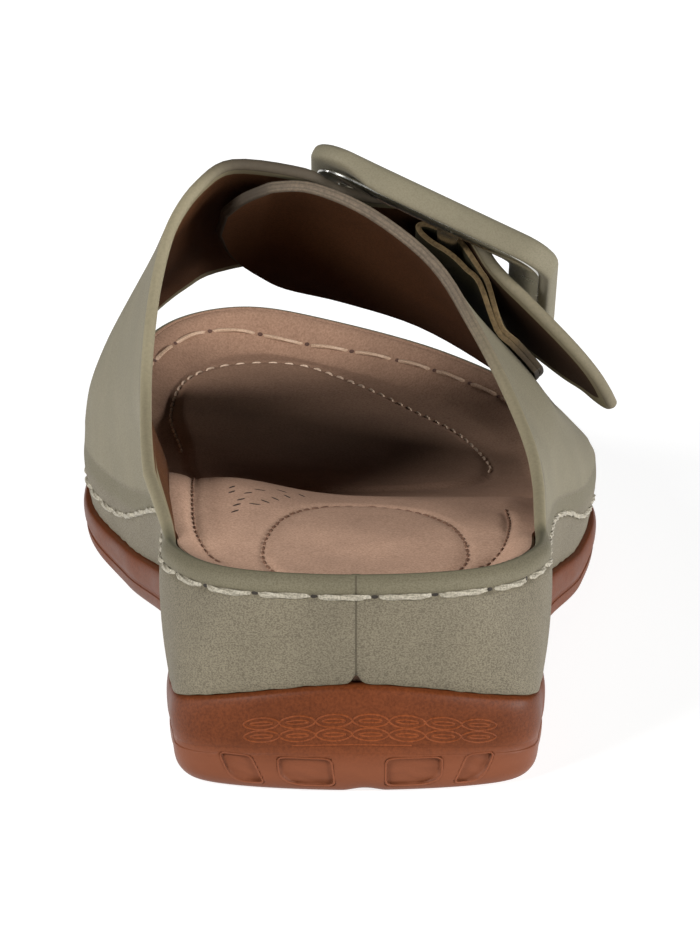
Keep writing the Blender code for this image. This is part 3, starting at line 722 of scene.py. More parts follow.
def innerKeys(count):
    rows = []
    for climb, back, front in list(zip(innerStrap["climb"], innerStrap["back"], innerStrap["front"]))[1:]:
        lap = smoothStep((climb - innerStrap["lapStart"]) / (1.0 - innerStrap["lapStart"]))
        row = []
        for f in spread(0.0, 1.0, count):
            y = back + f * (front - back)
            over = lap * (innerStrap["lap"][0] + f * (innerStrap["lap"][1] - innerStrap["lap"][0]))
            row.append(archPoint(y, climb) + archNormal(y, climb) * over)
        rows.append(row)
    for along, rise, twist, back, front in zip(*buckleRun.values()):
        ends = zip(spread(-back, front, count), spread(-twist, twist, count))
        rows.append([bucklePoint(along, w, rise + turn) for w, turn in ends])
    return rows


def outerPoint(y, climb):
    place = float(np.interp(climb, outerStrap["climb"], range(len(outerStrap["climb"]))))
    near = 1.0 - smoothStep((y - openValue(outerStrap["back"], place)) / edgeLean["run"])
    lean = Vector((-openValue(edgeLean["in"], place), 0.0, openValue(edgeLean["up"], place)))
    return archPoint(y, 2.0 - climb) + lean * near


def outerKeys(count):
    rows = []
    for climb, back, front in list(zip(*outerStrap.values()))[1:]:
        rows.append([outerPoint(y, climb) for y in spread(front, back, count)])
    return rows


def upperAngles():
    columns = upperWrap["columns"]
    inner = [angleAt(y) for y in spread(innerStrap["back"][0], innerStrap["front"][0], columns["inner"])]
    outerYs = spread(outerStrap["front"][0], outerStrap["back"][0], columns["outer"])
    outer = [2 * math.pi - angleAt(y) for y in outerYs]
    toe = spread(inner[-1], outer[0], columns["toe"])[1:-1]
    seam = 2 * math.pi
    half = columns["heel"] // 2
    before = [seam - (seam - outer[-1]) * (1 - k / half) ** 1.4 for k in range(1, half)]
    after = [seam + inner[0] * (k / half) ** 1.4 for k in range(0, half)]
    return inner, toe, outer, before + after


def wrapPoint(angle, depth, share):  # share is how free the rim is of a strap, 0 to 1
    run = runAt(angle)
    point = wallAtDepth(angle, depth)
    below = depth - stitchDepth(angle)
    dent = bell(upperWrap["dent"]["deep"], below / upperWrap["dent"]["wide"])
    wide = upperWrap["hole"]["wide"]
    hole = bell(upperWrap["hole"]["deep"], holeOffset(run) / wide, below / wide)
    roll = upperWrap["roll"] * math.sin(math.pi * min(depth / rimStitch["depth"], 1.0)) * share
    turn = upperWrap["rollIn"] * max(0.0, 1.0 - depth / upperWrap["rollDepth"]) ** 2 * share
    seam = bell(upperWrap["seam"]["deep"], seamAway(angle) / upperWrap["seam"]["wide"])
    return point + outward(angle) * (roll - dent - hole - turn - seam)


# rows or climbs over which each mark of a strap's edge sets in
edgeMarks = {
    "layer": (0.2, 0.5),
    # painted shade: the strap's edge darkens where it runs under the buckle
    "hidden": (0.98, 1.07),
    # painted shade: the lining darkens under the tail
    "tail": (3.0, 7.0),
    "shade": {"most": 0.9, "start": (-0.6, 1.0), "end": (7.5, 9.5), "fade": 0.55},
}


def underBuckle(row):  # how far a row of the inner strap lies in the buckle's shade
    shade = edgeMarks["shade"]
    past = row - len(innerStrap["climb"]) + 2
    return shade["most"] * ease(past, shade["start"]) * (1.0 - shade["fade"] * ease(past, shade["end"]))


def upperSkin():
    skin = newSkin("rimDepth", "seam", "onStrap", "turned", "toe", "across", "layer", "hidden", "tail")
    inner, toe, outer, heel = upperAngles()
    angles = inner + toe + outer + heel
    free = [0.0] * len(inner) + [1.0] * len(toe) + [0.0] * len(outer) + [1.0] * len(heel)
    for _ in range(8):  # the roll fades in beside each strap
        free = [(free[k - 1] + free[k] + free[(k + 1) % len(free)]) / 3 for k in range(len(free))]
    seams = [seamAway(a) for a in angles]
    toeEnds = (len(inner) + 2, len(inner) + len(toe) - 2)
    toeward = [1.0 if toeEnds[0] <= k < toeEnds[1] else 0.0 for k in range(len(angles))]
    depths = upperWrap["depths"]
    rows = []
    for k in range(upperWrap["lowerRows"]):
        row, lows = [], []
        for a, share in zip(angles, free):
            whole = at(rimRound, a) - at(rubberRound, a) - shoe["gap"]
            depth = whole + (depths[-1] - whole) * k / upperWrap["lowerRows"]
            point = wrapPoint(a, depth, share)
            if k == 0:
                ragged = noise.noise(Vector((point.x * 0.35, point.y * 0.35, 3.0)))
                notch = upperWrap["notch"]
                point.z += upperWrap["rawEdge"] * ragged + bell(notch["high"], seamAway(a) / notch["wide"])
            row.append(point)
            lows.append(depth)
        rows.append(addRow(skin, row, rimDepth=lows, seam=seams, toe=toeward))
    for depth in depths[::-1]:
        row = [wrapPoint(a, depth, share) for a, share in zip(angles, free)]
        rows.append(addRow(skin, row, rimDepth=depth, seam=seams, toe=toeward))
    for low, high in zip(rows, rows[1:]):
        joinRows(skin, low, high, closed=True)
    rim = rows[-1]
    edges = [skin["points"][rim[k]] for k in range(len(angles)) if free[k] > 0.5]
    steps = upperWrap["rowSteps"]
    climbs = spread(0.0, len(outerStrap["climb"]) - 1, (len(outerStrap["climb"]) - 1) * steps)[1:]
    climbs = [openValue(outerStrap["climb"], t) for t in climbs]
    starts = (
        (0, len(inner), innerKeys(len(inner) - 1), 1.0, None),
        (len(inner) + len(toe), len(outer), outerKeys(len(outer) - 1), 0.0, climbs),
    )
    for first, count, keys, turned, climbs in starts:
        low = rim[first:first + count]
        feet = [skin["points"][k] for k in low]
        for k, points in enumerate(throughRows([feet] + keys, steps, straightFirst=True)[1:]):
            layer = ease(climbs[k], edgeMarks["layer"]) if climbs else 0.0
            # painted shade on the edge under the buckle
            hidden = ease(climbs[k], edgeMarks["hidden"]) if climbs else underBuckle(k / steps)
            # painted shade on the lining under the tail, past the buckle
            tail = 0.0 if climbs else ease(k / steps - len(innerStrap["climb"]), edgeMarks["tail"])
            marks = {"onStrap": 1.0, "turned": turned, "layer": layer, "hidden": hidden, "tail": tail}
            high = addRow(skin, points, rimDepth=99.0, seam=99.0, **marks)
            joinRows(skin, low, high)
            edges += [skin["points"][high[0]], skin["points"][high[-1]]]
            low = high
        edges += [skin["points"][k] for k in low]
    tree = pathTree(edges)
    skin["marks"]["edge"] = [tree.find(p)[2] for p in skin["points"]]
    return skin


def boundaryLoops(mesh):
    bm = bmesh.new()
    bm.from_mesh(mesh)
    bm.verts.ensure_lookup_table()
    free = {e for e in bm.edges if e.is_boundary}
    loops = []
    while free:
        edge = free.pop()
        loop = [edge.verts[0].index, edge.verts[1].index]
        while loop[-1] != loop[0]:
            step = next(e for e in bm.verts[loop[-1]].link_edges if e in free)
            free.remove(step)
            loop.append(step.other_vert(bm.verts[loop[-1]]).index)
        loops.append(loop[:-1])
    centres = {}
    for loop in loops:
        for k in loop:
            faces = bm.verts[k].link_faces
            centres[k] = sum((f.calc_center_median() for f in faces), Vector()) / len(faces)
    bm.free()
    return loops, centres


edgeRoll = {
    "rows": 14,
    "bulge": 0.85,
    "rawBulge": 0.3,
    "cutBulge": 0.1,
    "layerDeep": 0.2,
    "layerWide": 0.05,
}


def thicken(skin, name, thick, lift, roll, finish):  # adds the inner wall and rounded edges
    mesh = meshOf(skin, name)
    normals = np.empty(len(mesh.vertices) * 3, np.float32)
    mesh.vertex_normals.foreach_get("vector", normals)
    normals = normals.reshape(-1, 3)
    loops, centres = boundaryLoops(mesh)
    bpy.data.meshes.remove(mesh)
    marks = skin["marks"]
    count = len(skin["points"])
    faces = list(skin["faces"])
    outer = np.array(skin["points"]) + normals * lift
    inner = outer - normals * thick
    skin["points"] = [tuple(p) for p in outer]
    addRow(skin, inner, **{mark: list(values) for mark, values in marks.items()})
    skin["faces"] += [tuple(k + count for k in face[::-1]) for face in faces]
    materials = [0] * len(faces) + [1] * len(faces)
    for loop in loops:
        away = []
        for n, k in enumerate(loop):
            along = Vector(outer[loop[(n + 1) % len(loop)]] - outer[loop[n - 1]])
            side = along.cross(Vector(normals[k])).normalized()
            toFace = centres[k] / mm + shoe["middle"] - Vector(outer[k])
            away.append(-side if side.dot(toFace) > 0 else side)
        raw = all(marks["onStrap"][k] == 0 and marks["rimDepth"][k] > 5 for k in loop)
        bulge = edgeRoll["rawBulge"] if raw else roll
        previous = list(loop)
        for j in range(1, edgeRoll["rows"] + 1):
            f = j / edgeRoll["rows"]
            dip = sum(bell(edgeRoll["layerDeep"], (f - line) / edgeRoll["layerWide"]) for line in edgeLines)
            row = [k + count for k in loop]
            if j < edgeRoll["rows"]:
                points = []
                for k, side in zip(loop, away):
                    reach = bulge * math.sin(math.pi * f) - dip * marks["layer"][k]
                    through = 0.5 - 0.5 * math.cos(math.pi * f)
                    points.append(Vector(outer[k] + (inner[k] - outer[k]) * through) + side * reach)
                given = {mark: [values[k] for k in loop] for mark, values in marks.items()}
                given["across"] = f
                row = addRow(skin, points, **given)
            for n, k in enumerate(loop):
                m = (n + 1) % len(loop)
                skin["faces"].append((previous[n], previous[m], row[m], row[n]))
                materials.append(finish(marks["toe"][k], f, raw))
            previous = row
    mesh = meshOf(skin, name, recalc=True)
    mesh.polygons.foreach_set("material_index", np.array(materials, np.int32))
    return mesh


def buildUpper():
    def finish(toe, f, raw):  # the suede turns over the rim at the toe
        return 3 if toe > 0.5 and f > 0.3 and not raw else 2

    mesh = thicken(upperSkin(), "upper_leather", shoe["leather"], 0.0, edgeRoll["bulge"], finish)
    return objectOf(mesh, "upper_leather", upperLeather, lining, foldedEdge, bedSuede)


upper = buildUpper()
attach(upper, "root")
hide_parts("upper")
print("upper:", len(upper.data.polygons), "faces")

# footbed: padded insole with sewn lines, a forefoot pad and an arch bump
footbed = {
    "columns": 420,
    "rings": 66,
    "lip": 0.76,
    "edgeDrop": 0.9,
    "bump": {"x": -25.0, "y": 82.0, "rise": 4.2, "wide": 15.0, "long": 26.0},
    "waistLip": {"y": 76.0, "rise": 7.2, "long": 27.0, "reach": 0.8},
    "press": {"run": 14.0, "strap": 1.3, "toe": 0.9},
    "toeLip": {"run": (190.0, 215.0), "share": 0.8},
    "trough": {"deep": 0.55, "wide": 1.1, "fade": 16.0},
    "padRise": {"high": 0.8, "run": 6.0},
    "heelPuff": 0.5,
    "wallHeights": (1.0, 0.9, 0.75, 0.5, 0.25, 0.0),
    "floorShares": (0.88, 0.6, 0.3),
    "floorThick": 5.2,
    "heelOval": {"x": 1.7, "y": 35.0, "wide": 18.6, "front": 38.0, "back": 20.0},
    "innerLine": (
        (-24.5, 29.0), (-27.7, 36.5), (-29.6, 50.0), (-30.2, 70.0), (-30.2, 88.0), (-31.2, 110.0),
    ),
    "outerLine": ((22.0, 27.0), (24.3, 31.0), (27.0, 40.0), (28.2, 57.0), (27.6, 70.0)),
    "pad": (
        (-34.4, 183.0), (-36.6, 202.0), (-35.0, 220.0), (-30.0, 230.0), (-21.0, 234.0), (-11.0, 232.8),
        (-3.0, 225.6), (5.0, 215.5), (13.0, 203.4), (19.0, 193.5), (23.0, 183.0), (26.2, 168.0),
        (23.0, 150.0), (8.0, 140.0), (-12.0, 138.0), (-28.0, 146.0), (-33.0, 164.0),
    ),
}


def smoothPath(points, steps, closed):
    points = [Vector((*p, 0.0)) for p in points]
    count = len(points)
    path = []
    for k in range(count if closed else count - 1):
        places = [(k + j) % count if closed else min(max(k + j, 0), count - 1) for j in (-1, 0, 1, 2)]
        path += [blendFour(*[points[n] for n in places], f) for f in spread(0.0, 1.0, steps)[:-1]]
    return path + ([path[0]] if closed else [points[-1]])


oval = footbed["heelOval"]


def ovalReach(side):  # an egg, longer to the front
    return oval["front"] if side > 0 else oval["back"]


def ovalPoint(turn):
    along = ovalReach(math.cos(turn)) * math.cos(turn)
    return Vector((oval["x"] + oval["wide"] * math.sin(turn), oval["y"] + along, 0.0))


bedPaths = {
    "heelOval": [ovalPoint(t) for t in spread(0.0, 2 * math.pi, 160)],
    "innerLine": smoothPath(footbed["innerLine"], 24, False),
    "outerLine": smoothPath(footbed["outerLine"], 24, False),
    "pad": smoothPath(footbed["pad"], 16, True),
}


bedTrees = {name: pathTree(path) for name, path in bedPaths.items()}


def insidePad(x, y):
    path = bedPaths["pad"]
    inside = False
    for a, b in zip(path, path[1:]):
        if (a.y > y) != (b.y > y) and x < a.x + (y - a.y) / (b.y - a.y) * (b.x - a.x):
            inside = not inside
    return inside


def waistShare(angle):  # 1 at the middle of the raised lip on the inner side
    lip = footbed["waistLip"]
    inner = 0.0 < angle < math.pi
    return bell(1.0, (outline(angle).y - lip["y"]) / lip["long"]) if inner else 0.0


def edgeReach(angle):  # the edge is pressed to the leather under the straps and nearly meets it at the toe
    y = outline(angle).y
    strap = innerStrap if angle < math.pi else outerStrap
    back, front = strap["back"][0], strap["front"][0]
    press = footbed["press"]
    under = ease(y, (back, back + press["run"])) * (1.0 - ease(y, (front - press["run"], front)))
    toeward = ease(y, (front, front + press["run"]))
    waist = footbed["waistLip"]["reach"] * waistShare(angle)
    return press["strap"] * under + press["toe"] * toeward + waist


def lipHeight(angle):
    toeward = footbed["toeLip"]["share"] * ease(outline(angle).y, footbed["toeLip"]["run"])
    height = at(rimRound, angle) - footbed["edgeDrop"] * (1.0 - toeward)
    return height + footbed["waistLip"]["rise"] * waistShare(angle)


def bedPlain(angle, share, point):
    bump = footbed["bump"]
    seat = at(seatRound, angleAt(point.y))
    dx, dy = (point.x - bump["x"]) / bump["wide"], (point.y - bump["y"]) / bump["long"]
    seat += bell(bump["rise"], dx, dy)
    return seat + (lipHeight(angle) - seat) * ease(share, (footbed["lip"], 1.0))


def bedRelief(x, y):  # sewn troughs, the puffed heel oval and the raised pad
    flat = Vector((x, y, 0.0))
    trough, pad = footbed["trough"], footbed["padRise"]
    rise = 0.0
    for name, tree in bedTrees.items():
        _, near, away = tree.find(flat)
        end = min(near, len(bedPaths[name]) - 1 - near)
        fade = smoothStep(end / trough["fade"]) if name.endswith("Line") else 1.0  # open seams fade out
        rise -= bell(trough["deep"], away / trough["wide"]) * fade
        if name == "pad":
            side = 1.0 if insidePad(x, y) else -1.0
            rise += pad["high"] * smoothStep(0.5 + side * away / pad["run"])
        if name == "heelOval":
            dx, dy = (x - oval["x"]) / oval["wide"], (y - oval["y"]) / ovalReach(y - oval["y"])
            rise += footbed["heelPuff"] * max(0.0, 1.0 - dx * dx - dy * dy) ** 0.5
    return rise


def bedPoint(angle, share):
    edge = wallPoint(angle, 1.0, shoe["fillInset"] - edgeReach(angle))
    point = spine(angle) + (edge - spine(angle)) * share
    point.z = bedPlain(angle, share, point)
    point.z += bedRelief(point.x, point.y) * (1.0 - ease(share, (0.9, 1.0)))
    return point


def floorRow(angles, edge, share, rise):  # a ring drawn in to the spine, at a height over the tread
    row = []
    for a, p in zip(angles, edge):
        point = spine(a) + (p - spine(a)) * share
        point.z = treadHeight(point.y) + rise
        row.append(point)
    return row


def buildFootbed():
    skin = newSkin()
    angles = spread(0.0, 2 * math.pi, footbed["columns"])[:-1]
    shares = [1.0 - (1.0 - k / footbed["rings"]) ** 1.25 for k in range(footbed["rings"])]
    rows = [addRow(skin, [bedPoint(a, s) for a in angles]) for s in shares[1:] + [0.985]]
    for height in footbed["wallHeights"]:
        row = []
        for a in angles:
            reach = edgeReach(a) if height == 1.0 else 0.0
            point = wallPoint(a, height, shoe["fillInset"] - reach)
            point.z = lipHeight(a) if height == 1.0 else point.z
            row.append(point)
        rows.append(addRow(skin, row))
    foot = [wallPoint(a, 0.0, shoe["fillInset"]) for a in angles]
    for share in footbed["floorShares"]:
        rows.append(addRow(skin, floorRow(angles, foot, share, footbed["floorThick"])))
    for high, low in zip(rows, rows[1:]):
        joinRows(skin, low, high, closed=True)
    closeToSpine(skin, rows[0], angles, lambda p: bedPlain(0.0, 0.0, p) + bedRelief(p.x, p.y))
    closeToSpine(skin, rows[-1], angles, lambda p: treadHeight(p.y) + footbed["floorThick"])
    return skinObject(skin, "footbed_suede", bedSuede)


def closeToSpine(skin, ring, angles, height):  # fills a ring with faces to the line along its middle
    half = len(ring) // 2
    middle = []
    for k in range(half + 1):
        point = spine(angles[k])
        point.z = height(point)
        middle.append(point)
    line = addRow(skin, middle)
    for k in range(half):
        skin["faces"].append((ring[k], ring[k + 1], line[k + 1], line[k]))
        skin["faces"].append((ring[-k - 1], ring[-k], line[k], line[k + 1]))


bed = buildFootbed()
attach(bed, "root")
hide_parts("footbed")
print("footbed:", len(bed.data.polygons), "faces")

# outsole: moulded rubber unit
outsole = {
    "above": (1.0, 0.93, 0.70, 0.30, 0.08, 0.0, 0.0, 0.0, 0.0, 0.0, 0.0, 0.0),
    "below": (1.0, 1.0, 1.0, 1.0, 1.0, 1.0, 0.88, 0.80, 0.40, 0.20, 0.07, 0.0),
    "swell": (-0.4, 0.4, 0.8, 0.7, 0.4, 0.1, 0.1, 0.3, 0.0, -0.7, -1.9, -4.0),
    "groove": 0.455,
    "rowSteps": 8,
    "columns": 520,
    "heelTurn": 0.62,
    "heelColumns": 150,
    "topShares": (0.3, 0.6, 0.95),
    "bottomShares": (0.94, 0.85, 0.72, 0.55, 0.4),
    "floor": 4.5,
}


soleAngles = spread(-1.2, 1.2, 480)  # angles round the heel with their signed distance from its middle
soleDistance = np.array(pathTable([outline(a, 0.0) for a in soleAngles]))
soleDistance -= soleDistance[len(soleAngles) // 2]


def heelAngle(away):  # angle at a distance to the outer side
    return float(np.interp(-away, soleDistance, soleAngles))


heelPanels = {
    "places": (
        (-20.8, 6.0, -0.45, -1), (-9.0, 9.8, -0.12, -1), (10.4, 10.2, 0.0, 1), (21.5, 5.2, 0.42, 1),
    ),
    "middle": 4.4,
    "height": 5.4,
    "corner": 0.6,
    "sweep": 3.6,
    "deep": 0.75,
}
heelNotch = {"at": 1.6, "half": 4.2, "high": 0.55, "below": 3.0}


def panelDent(run, z):  # a place is distance to the outer side, width, lean and side of the swept corner
    deepest = 0.0
    for away, wide, lean, side in heelPanels["places"]:
        v = z - heelPanels["middle"]
        u = -run - away - lean * v
        corner = heelPanels["sweep" if u * side > 0 and v < 0 else "corner"]
        du, dv = abs(u) - wide / 2 + corner, abs(v) - heelPanels["height"] / 2 + corner
        edge = math.hypot(max(du, 0.0), max(dv, 0.0)) + min(max(du, dv), 0.0) - corner
        wave = 0.06 * math.sin(3.1 * v + 0.5 * u + 0.8 * math.sin(0.9 * u))
        deepest = max(deepest, (heelPanels["deep"] + wave) * (1.0 - smoothStep((edge + 0.25) / 0.4)))
    return deepest


def solePoint(angle, above, below, swell):
    out = outward(angle, 0.0)
    point = outline(angle, 0.0) + out * swell
    tread = treadHeight(point.y)
    top = at(rubberRound, angle)
    groove = tread + outsole["groove"] * (top - tread)
    point.z = tread + below * (groove - tread) + above * (top - groove)
    turn = (angle + math.pi) % (2 * math.pi) - math.pi
    if abs(turn) < 0.8 and point.z < groove:
        run = float(np.interp(turn, soleAngles, soleDistance))
        point -= out * panelDent(run, point.z)
        arc = max(0.0, 1.0 - ((-run - heelNotch["at"]) / heelNotch["half"]) ** 2)
        point.z += heelNotch["high"] * arc * arc * max(0.0, 1.0 - point.z / heelNotch["below"])
    return point


def buildOutsole():
    skin = newSkin()
    turn, fine = outsole["heelTurn"], outsole["heelColumns"]
    heel = [turn * (k / fine) for k in range(fine)]
    rest = spread(turn, 2 * math.pi - turn, outsole["columns"] - 2 * fine)
    angles = heel + rest[:-1] + [2 * math.pi - turn * (1 - k / fine) for k in range(fine)]
    ledge = [wallPoint(a, 0.0, shoe["fillInset"]) for a in angles]
    rows = [floorRow(angles, ledge, share, outsole["floor"]) for share in outsole["topShares"]]
    for a, point in zip(angles, ledge):
        point.z = at(rubberRound, a)
    rows.append(ledge)
    last = len(outsole["swell"]) - 1
    for t in spread(0.0, last, last * outsole["rowSteps"]):
        above = min(max(openValue(outsole["above"], t), 0.0), 1.0)
        below = min(max(openValue(outsole["below"], t), 0.0), 1.0)
        rows.append([solePoint(a, above, below, openValue(outsole["swell"], t)) for a in angles])
    edge = rows[-1]
    rows += [floorRow(angles, edge, share, 0.0) for share in outsole["bottomShares"]]
    rings = [addRow(skin, row) for row in rows]
    for high, low in zip(rings, rings[1:]):
        joinRows(skin, low, high, closed=True)
    closeToSpine(skin, rings[0], angles, lambda p: treadHeight(p.y) + outsole["floor"])
    closeToSpine(skin, rings[-1], angles, lambda p: treadHeight(p.y))
    return combine(skinObject(skin, "outsole_rubber", rubber), lugCutters(), "DIFFERENCE", 50.0)


lugs = {
    "places": (13.0, 23.0, 33.0, 43.0, 149.0, 159.5, 170.0, 180.5, 191.0),
    "width": 2.4,
    "depth": 1.5,
    "edge": 11.0,
}


def lugCutters():  # boxes that part the tread into cross lugs
    skin = newSkin()
    for y in lugs["places"]:
        low = outline(angleAt(y), 0.0).x + lugs["edge"]
        high = outline(2 * math.pi - angleAt(y), 0.0).x - lugs["edge"]
        z = treadHeight(y)
        for dz in (-lugs["depth"], lugs["depth"]):
            corners = ((low, -1), (high, -1), (high, 1), (low, 1))
            addRow(skin, [(x, y + side * lugs["width"] / 2, z + dz) for x, side in corners])
        first = len(skin["points"]) - 8
        skin["faces"] += [tuple(first + k for k in range(4)), tuple(first + 4 + k for k in range(4))]
        for k in range(4):
            n = (k + 1) % 4
            skin["faces"].append((first + k, first + n, first + 4 + n, first + 4 + k))
    return skinObject(skin, "lug_cutters")


sole = buildOutsole()
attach(sole, "root")
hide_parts("outsole")
print("outsole:", len(sole.data.polygons), "faces")

# buckle: leather-covered ring on a metal slider plate, held by a folded tab
cover = {"inset": 0.0, "width": 8.2, "low": 0.4, "high": 4.2, "corner": 7.6, "power": 3.4, "around": 28}
cover.update(skirt=2.5, wideEnd=0.0)
plate = {"inset": 2.4, "width": 4.6, "low": -1.1, "high": 0.1, "corner": 6.4, "power": 2.8, "around": 16}
plate.update(skirt=0.0, wideEnd=1.9)
skirtRun = (-19.0, -11.0)
wideRun = (10.0, 15.0)
bar = {"at": 4.0, "wide": 4.4, "power": 0.7, "around": 16, "clear": 0.1}


def frameRing(halfAlong, halfAcross, radius, corners=14, sides=14):
    def corner(sx, sy, turn):
        x = sx * (halfAlong - radius) + radius * math.cos(turn)
        return x, sy * (halfAcross - radius) + radius * math.sin(turn)

    path = []
    for quarter in range(4):
        sx = 1 if quarter in (0, 3) else -1
        sy = 1 if quarter in (0, 1) else -1
        for f in spread(0.0, 1.0, corners):
            path.append(corner(sx, sy, (quarter + f) * math.pi / 2))
        nextX = -sx if quarter in (0, 2) else sx
        nextY = sy if quarter in (0, 2) else -sy
        goal = corner(nextX, nextY, (quarter + 1) * math.pi / 2)
        start = path[-1]
        for f in spread(0.0, 1.0, sides)[1:-1]:
            path.append((start[0] + (goal[0] - start[0]) * f, start[1] + (goal[1] - start[1]) * f))
    return path


def sweepRing(skin, look):
    halfAlong, halfAcross = [buckle[side] / 2 - look["inset"] for side in ("along", "across")]
    rows = []
    for k in range(look["around"]):
        turn = 2 * math.pi * k / look["around"]
        out = signedPower(math.cos(turn), 2 / look["power"])
        rise = 0.5 + 0.5 * signedPower(math.sin(turn), 2 / look["power"])
        inset = (1.0 - out) * look["width"] / 2
        ring = frameRing(halfAlong - inset, halfAcross - inset, max(1.5, look["corner"] - inset))
        high = look["low"] + rise * (look["high"] - look["low"])
        drop = look["skirt"] * (1.0 - rise) * max(0.0, out)  # the leather is turned down over the plate
        points = []
        for x, y in ring:
            inner = look["wideEnd"] * (1.0 - out) / 2 * ease(x, wideRun)
            points.append(bucklePoint(x - inner, y, high - drop * ease(x, skirtRun)))
        rows.append(addRow(skin, points))
    for low, high in zip(rows, rows[1:] + rows[:1]):
        joinRows(skin, low, high, closed=True)


def buildCover():
    skin = newSkin()
    sweepRing(skin, cover)
    return skinObject(skin, "buckle_cover_leather", buckleLeather)


def buildPlate():
    skin = newSkin()
    sweepRing(skin, plate)
    obj = skinObject(skin, "buckle_plate", nickel)
    rod = newSkin()
    reach = buckle["across"] / 2 - plate["inset"] - plate["width"] / 2
    middle = (plate["low"] + plate["high"]) / 2
    thick = (plate["high"] - plate["low"]) / 2 - bar["clear"]
    rows = []
    for w in spread(-reach, reach, 12):
        ring = []
        for k in range(bar["around"]):
            turn = 2 * math.pi * k / bar["around"]
            along = bar["at"] + bar["wide"] / 2 * signedPower(math.cos(turn), bar["power"])
            ring.append(bucklePoint(along, w, middle + thick * signedPower(math.sin(turn), bar["power"])))
        rows.append(addRow(rod, ring))
    for low, high in zip(rows, rows[1:]):
        joinRows(rod, low, high, closed=True)
    rod["faces"] += [tuple(rows[0]), tuple(rows[-1][::-1])]
    return combine(obj, skinObject(rod, "centre_bar", nickel), "UNION", 40.0)


tab = {
    "ply": 1.0,
    "clear": 0.4,
    "columns": 24,
    "across": (-12.5, 11.5),
    "onStrap": (122.0, 144.0),
    "climbs": (0.33, 0.36, 0.39, 0.425),
    "between": 0.06,
    # painted shade: the raw edge darkens at both ends, where the tab lies against the strap
    "sewn": {"dark": 0.85, "run": (4.0, 12.0)},
    "loop": (
        (13.0, -5.0), (9.5, -3.6), (6.5, -2.5), (4.0, -2.0), (1.6, -1.75), (-0.5, -1.25), (-1.7, -0.75),
        (-2.35, 0.0), (-1.7, 0.75), (-0.5, 1.1), (1.6, 1.25), (4.0, 1.15), (6.5, 0.6), (9.0, -0.8),
        (12.0, -2.7), (14.5, -4.4),
    ),
}


def tabStrapRow(climb, over):
    ys = spread(*tab["onStrap"], tab["columns"])
    return [outerPoint(y, climb) + archNormal(y, 2.0 - climb) * over for y in ys]


def buildTab():
    under = tab["clear"] + tab["ply"] / 2
    over = under + tab["ply"] + tab["between"]
    widths = spread(*tab["across"], tab["columns"])
    keys = [tabStrapRow(c, under) for c in tab["climbs"]]
    keys += [[bucklePoint(a, w, r) for w in widths] for a, r in tab["loop"]]
    keys += [tabStrapRow(c, over) for c in tab["climbs"][::-1]]
    skin = newSkin("rimDepth", "onStrap", "layer", "toe", "across", "hidden")
    rows = []
    found = throughRows(keys, 4)
    for k, row in enumerate(found):
        fromEnd = min(k, len(found) - 1 - k)
        # painted shade at the tab's ends
        hidden = tab["sewn"]["dark"] * (1.0 - ease(fromEnd, tab["sewn"]["run"]))
        rows.append(addRow(skin, row, onStrap=1.0, hidden=hidden))
    for low, high in zip(rows, rows[1:]):
        joinRows(skin, low, high)
    cut = edgeRoll["cutBulge"]
    mesh = thicken(skin, "buckle_tab_leather", tab["ply"], tab["ply"] / 2, cut, lambda toe, f, raw: 2)
    return objectOf(mesh, "buckle_tab_leather", tabLeather, tabLeather, tabEdge)


for obj, node, slot in (
    (buildCover(), "buckle_cover", "upper_leather"),
    (buildPlate(), "buckle_frame", "buckle_metal"),
    (buildTab(), "buckle_tab", "tab_leather"),
):
    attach(obj, "root")
    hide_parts(node)
    print(obj.name + ":", len(obj.data.polygons), "faces")


# node trees: a thread swept along paths, and marks set on points
def nodeTree(name, inputs):
    tree = bpy.data.node_groups.new(name, "GeometryNodeTree")
    tree.interface.new_socket("Geometry", in_out="OUTPUT", socket_type="NodeSocketGeometry")
    tree.interface.new_socket("Geometry", in_out="INPUT", socket_type="NodeSocketGeometry")
    sockets = {}
    for label, kind in inputs:
        sockets[label] = tree.interface.new_socket(label, in_out="INPUT", socket_type=kind)
    start = tree.nodes.new("NodeGroupInput")
    end = tree.nodes.new("NodeGroupOutput")
    return tree, sockets, start, end


def named(tree, name, kind):
    node = addNode(tree, "GeometryNodeInputNamedAttribute", data_type=kind, in_Name=name)
    return node.outputs["Attribute"]


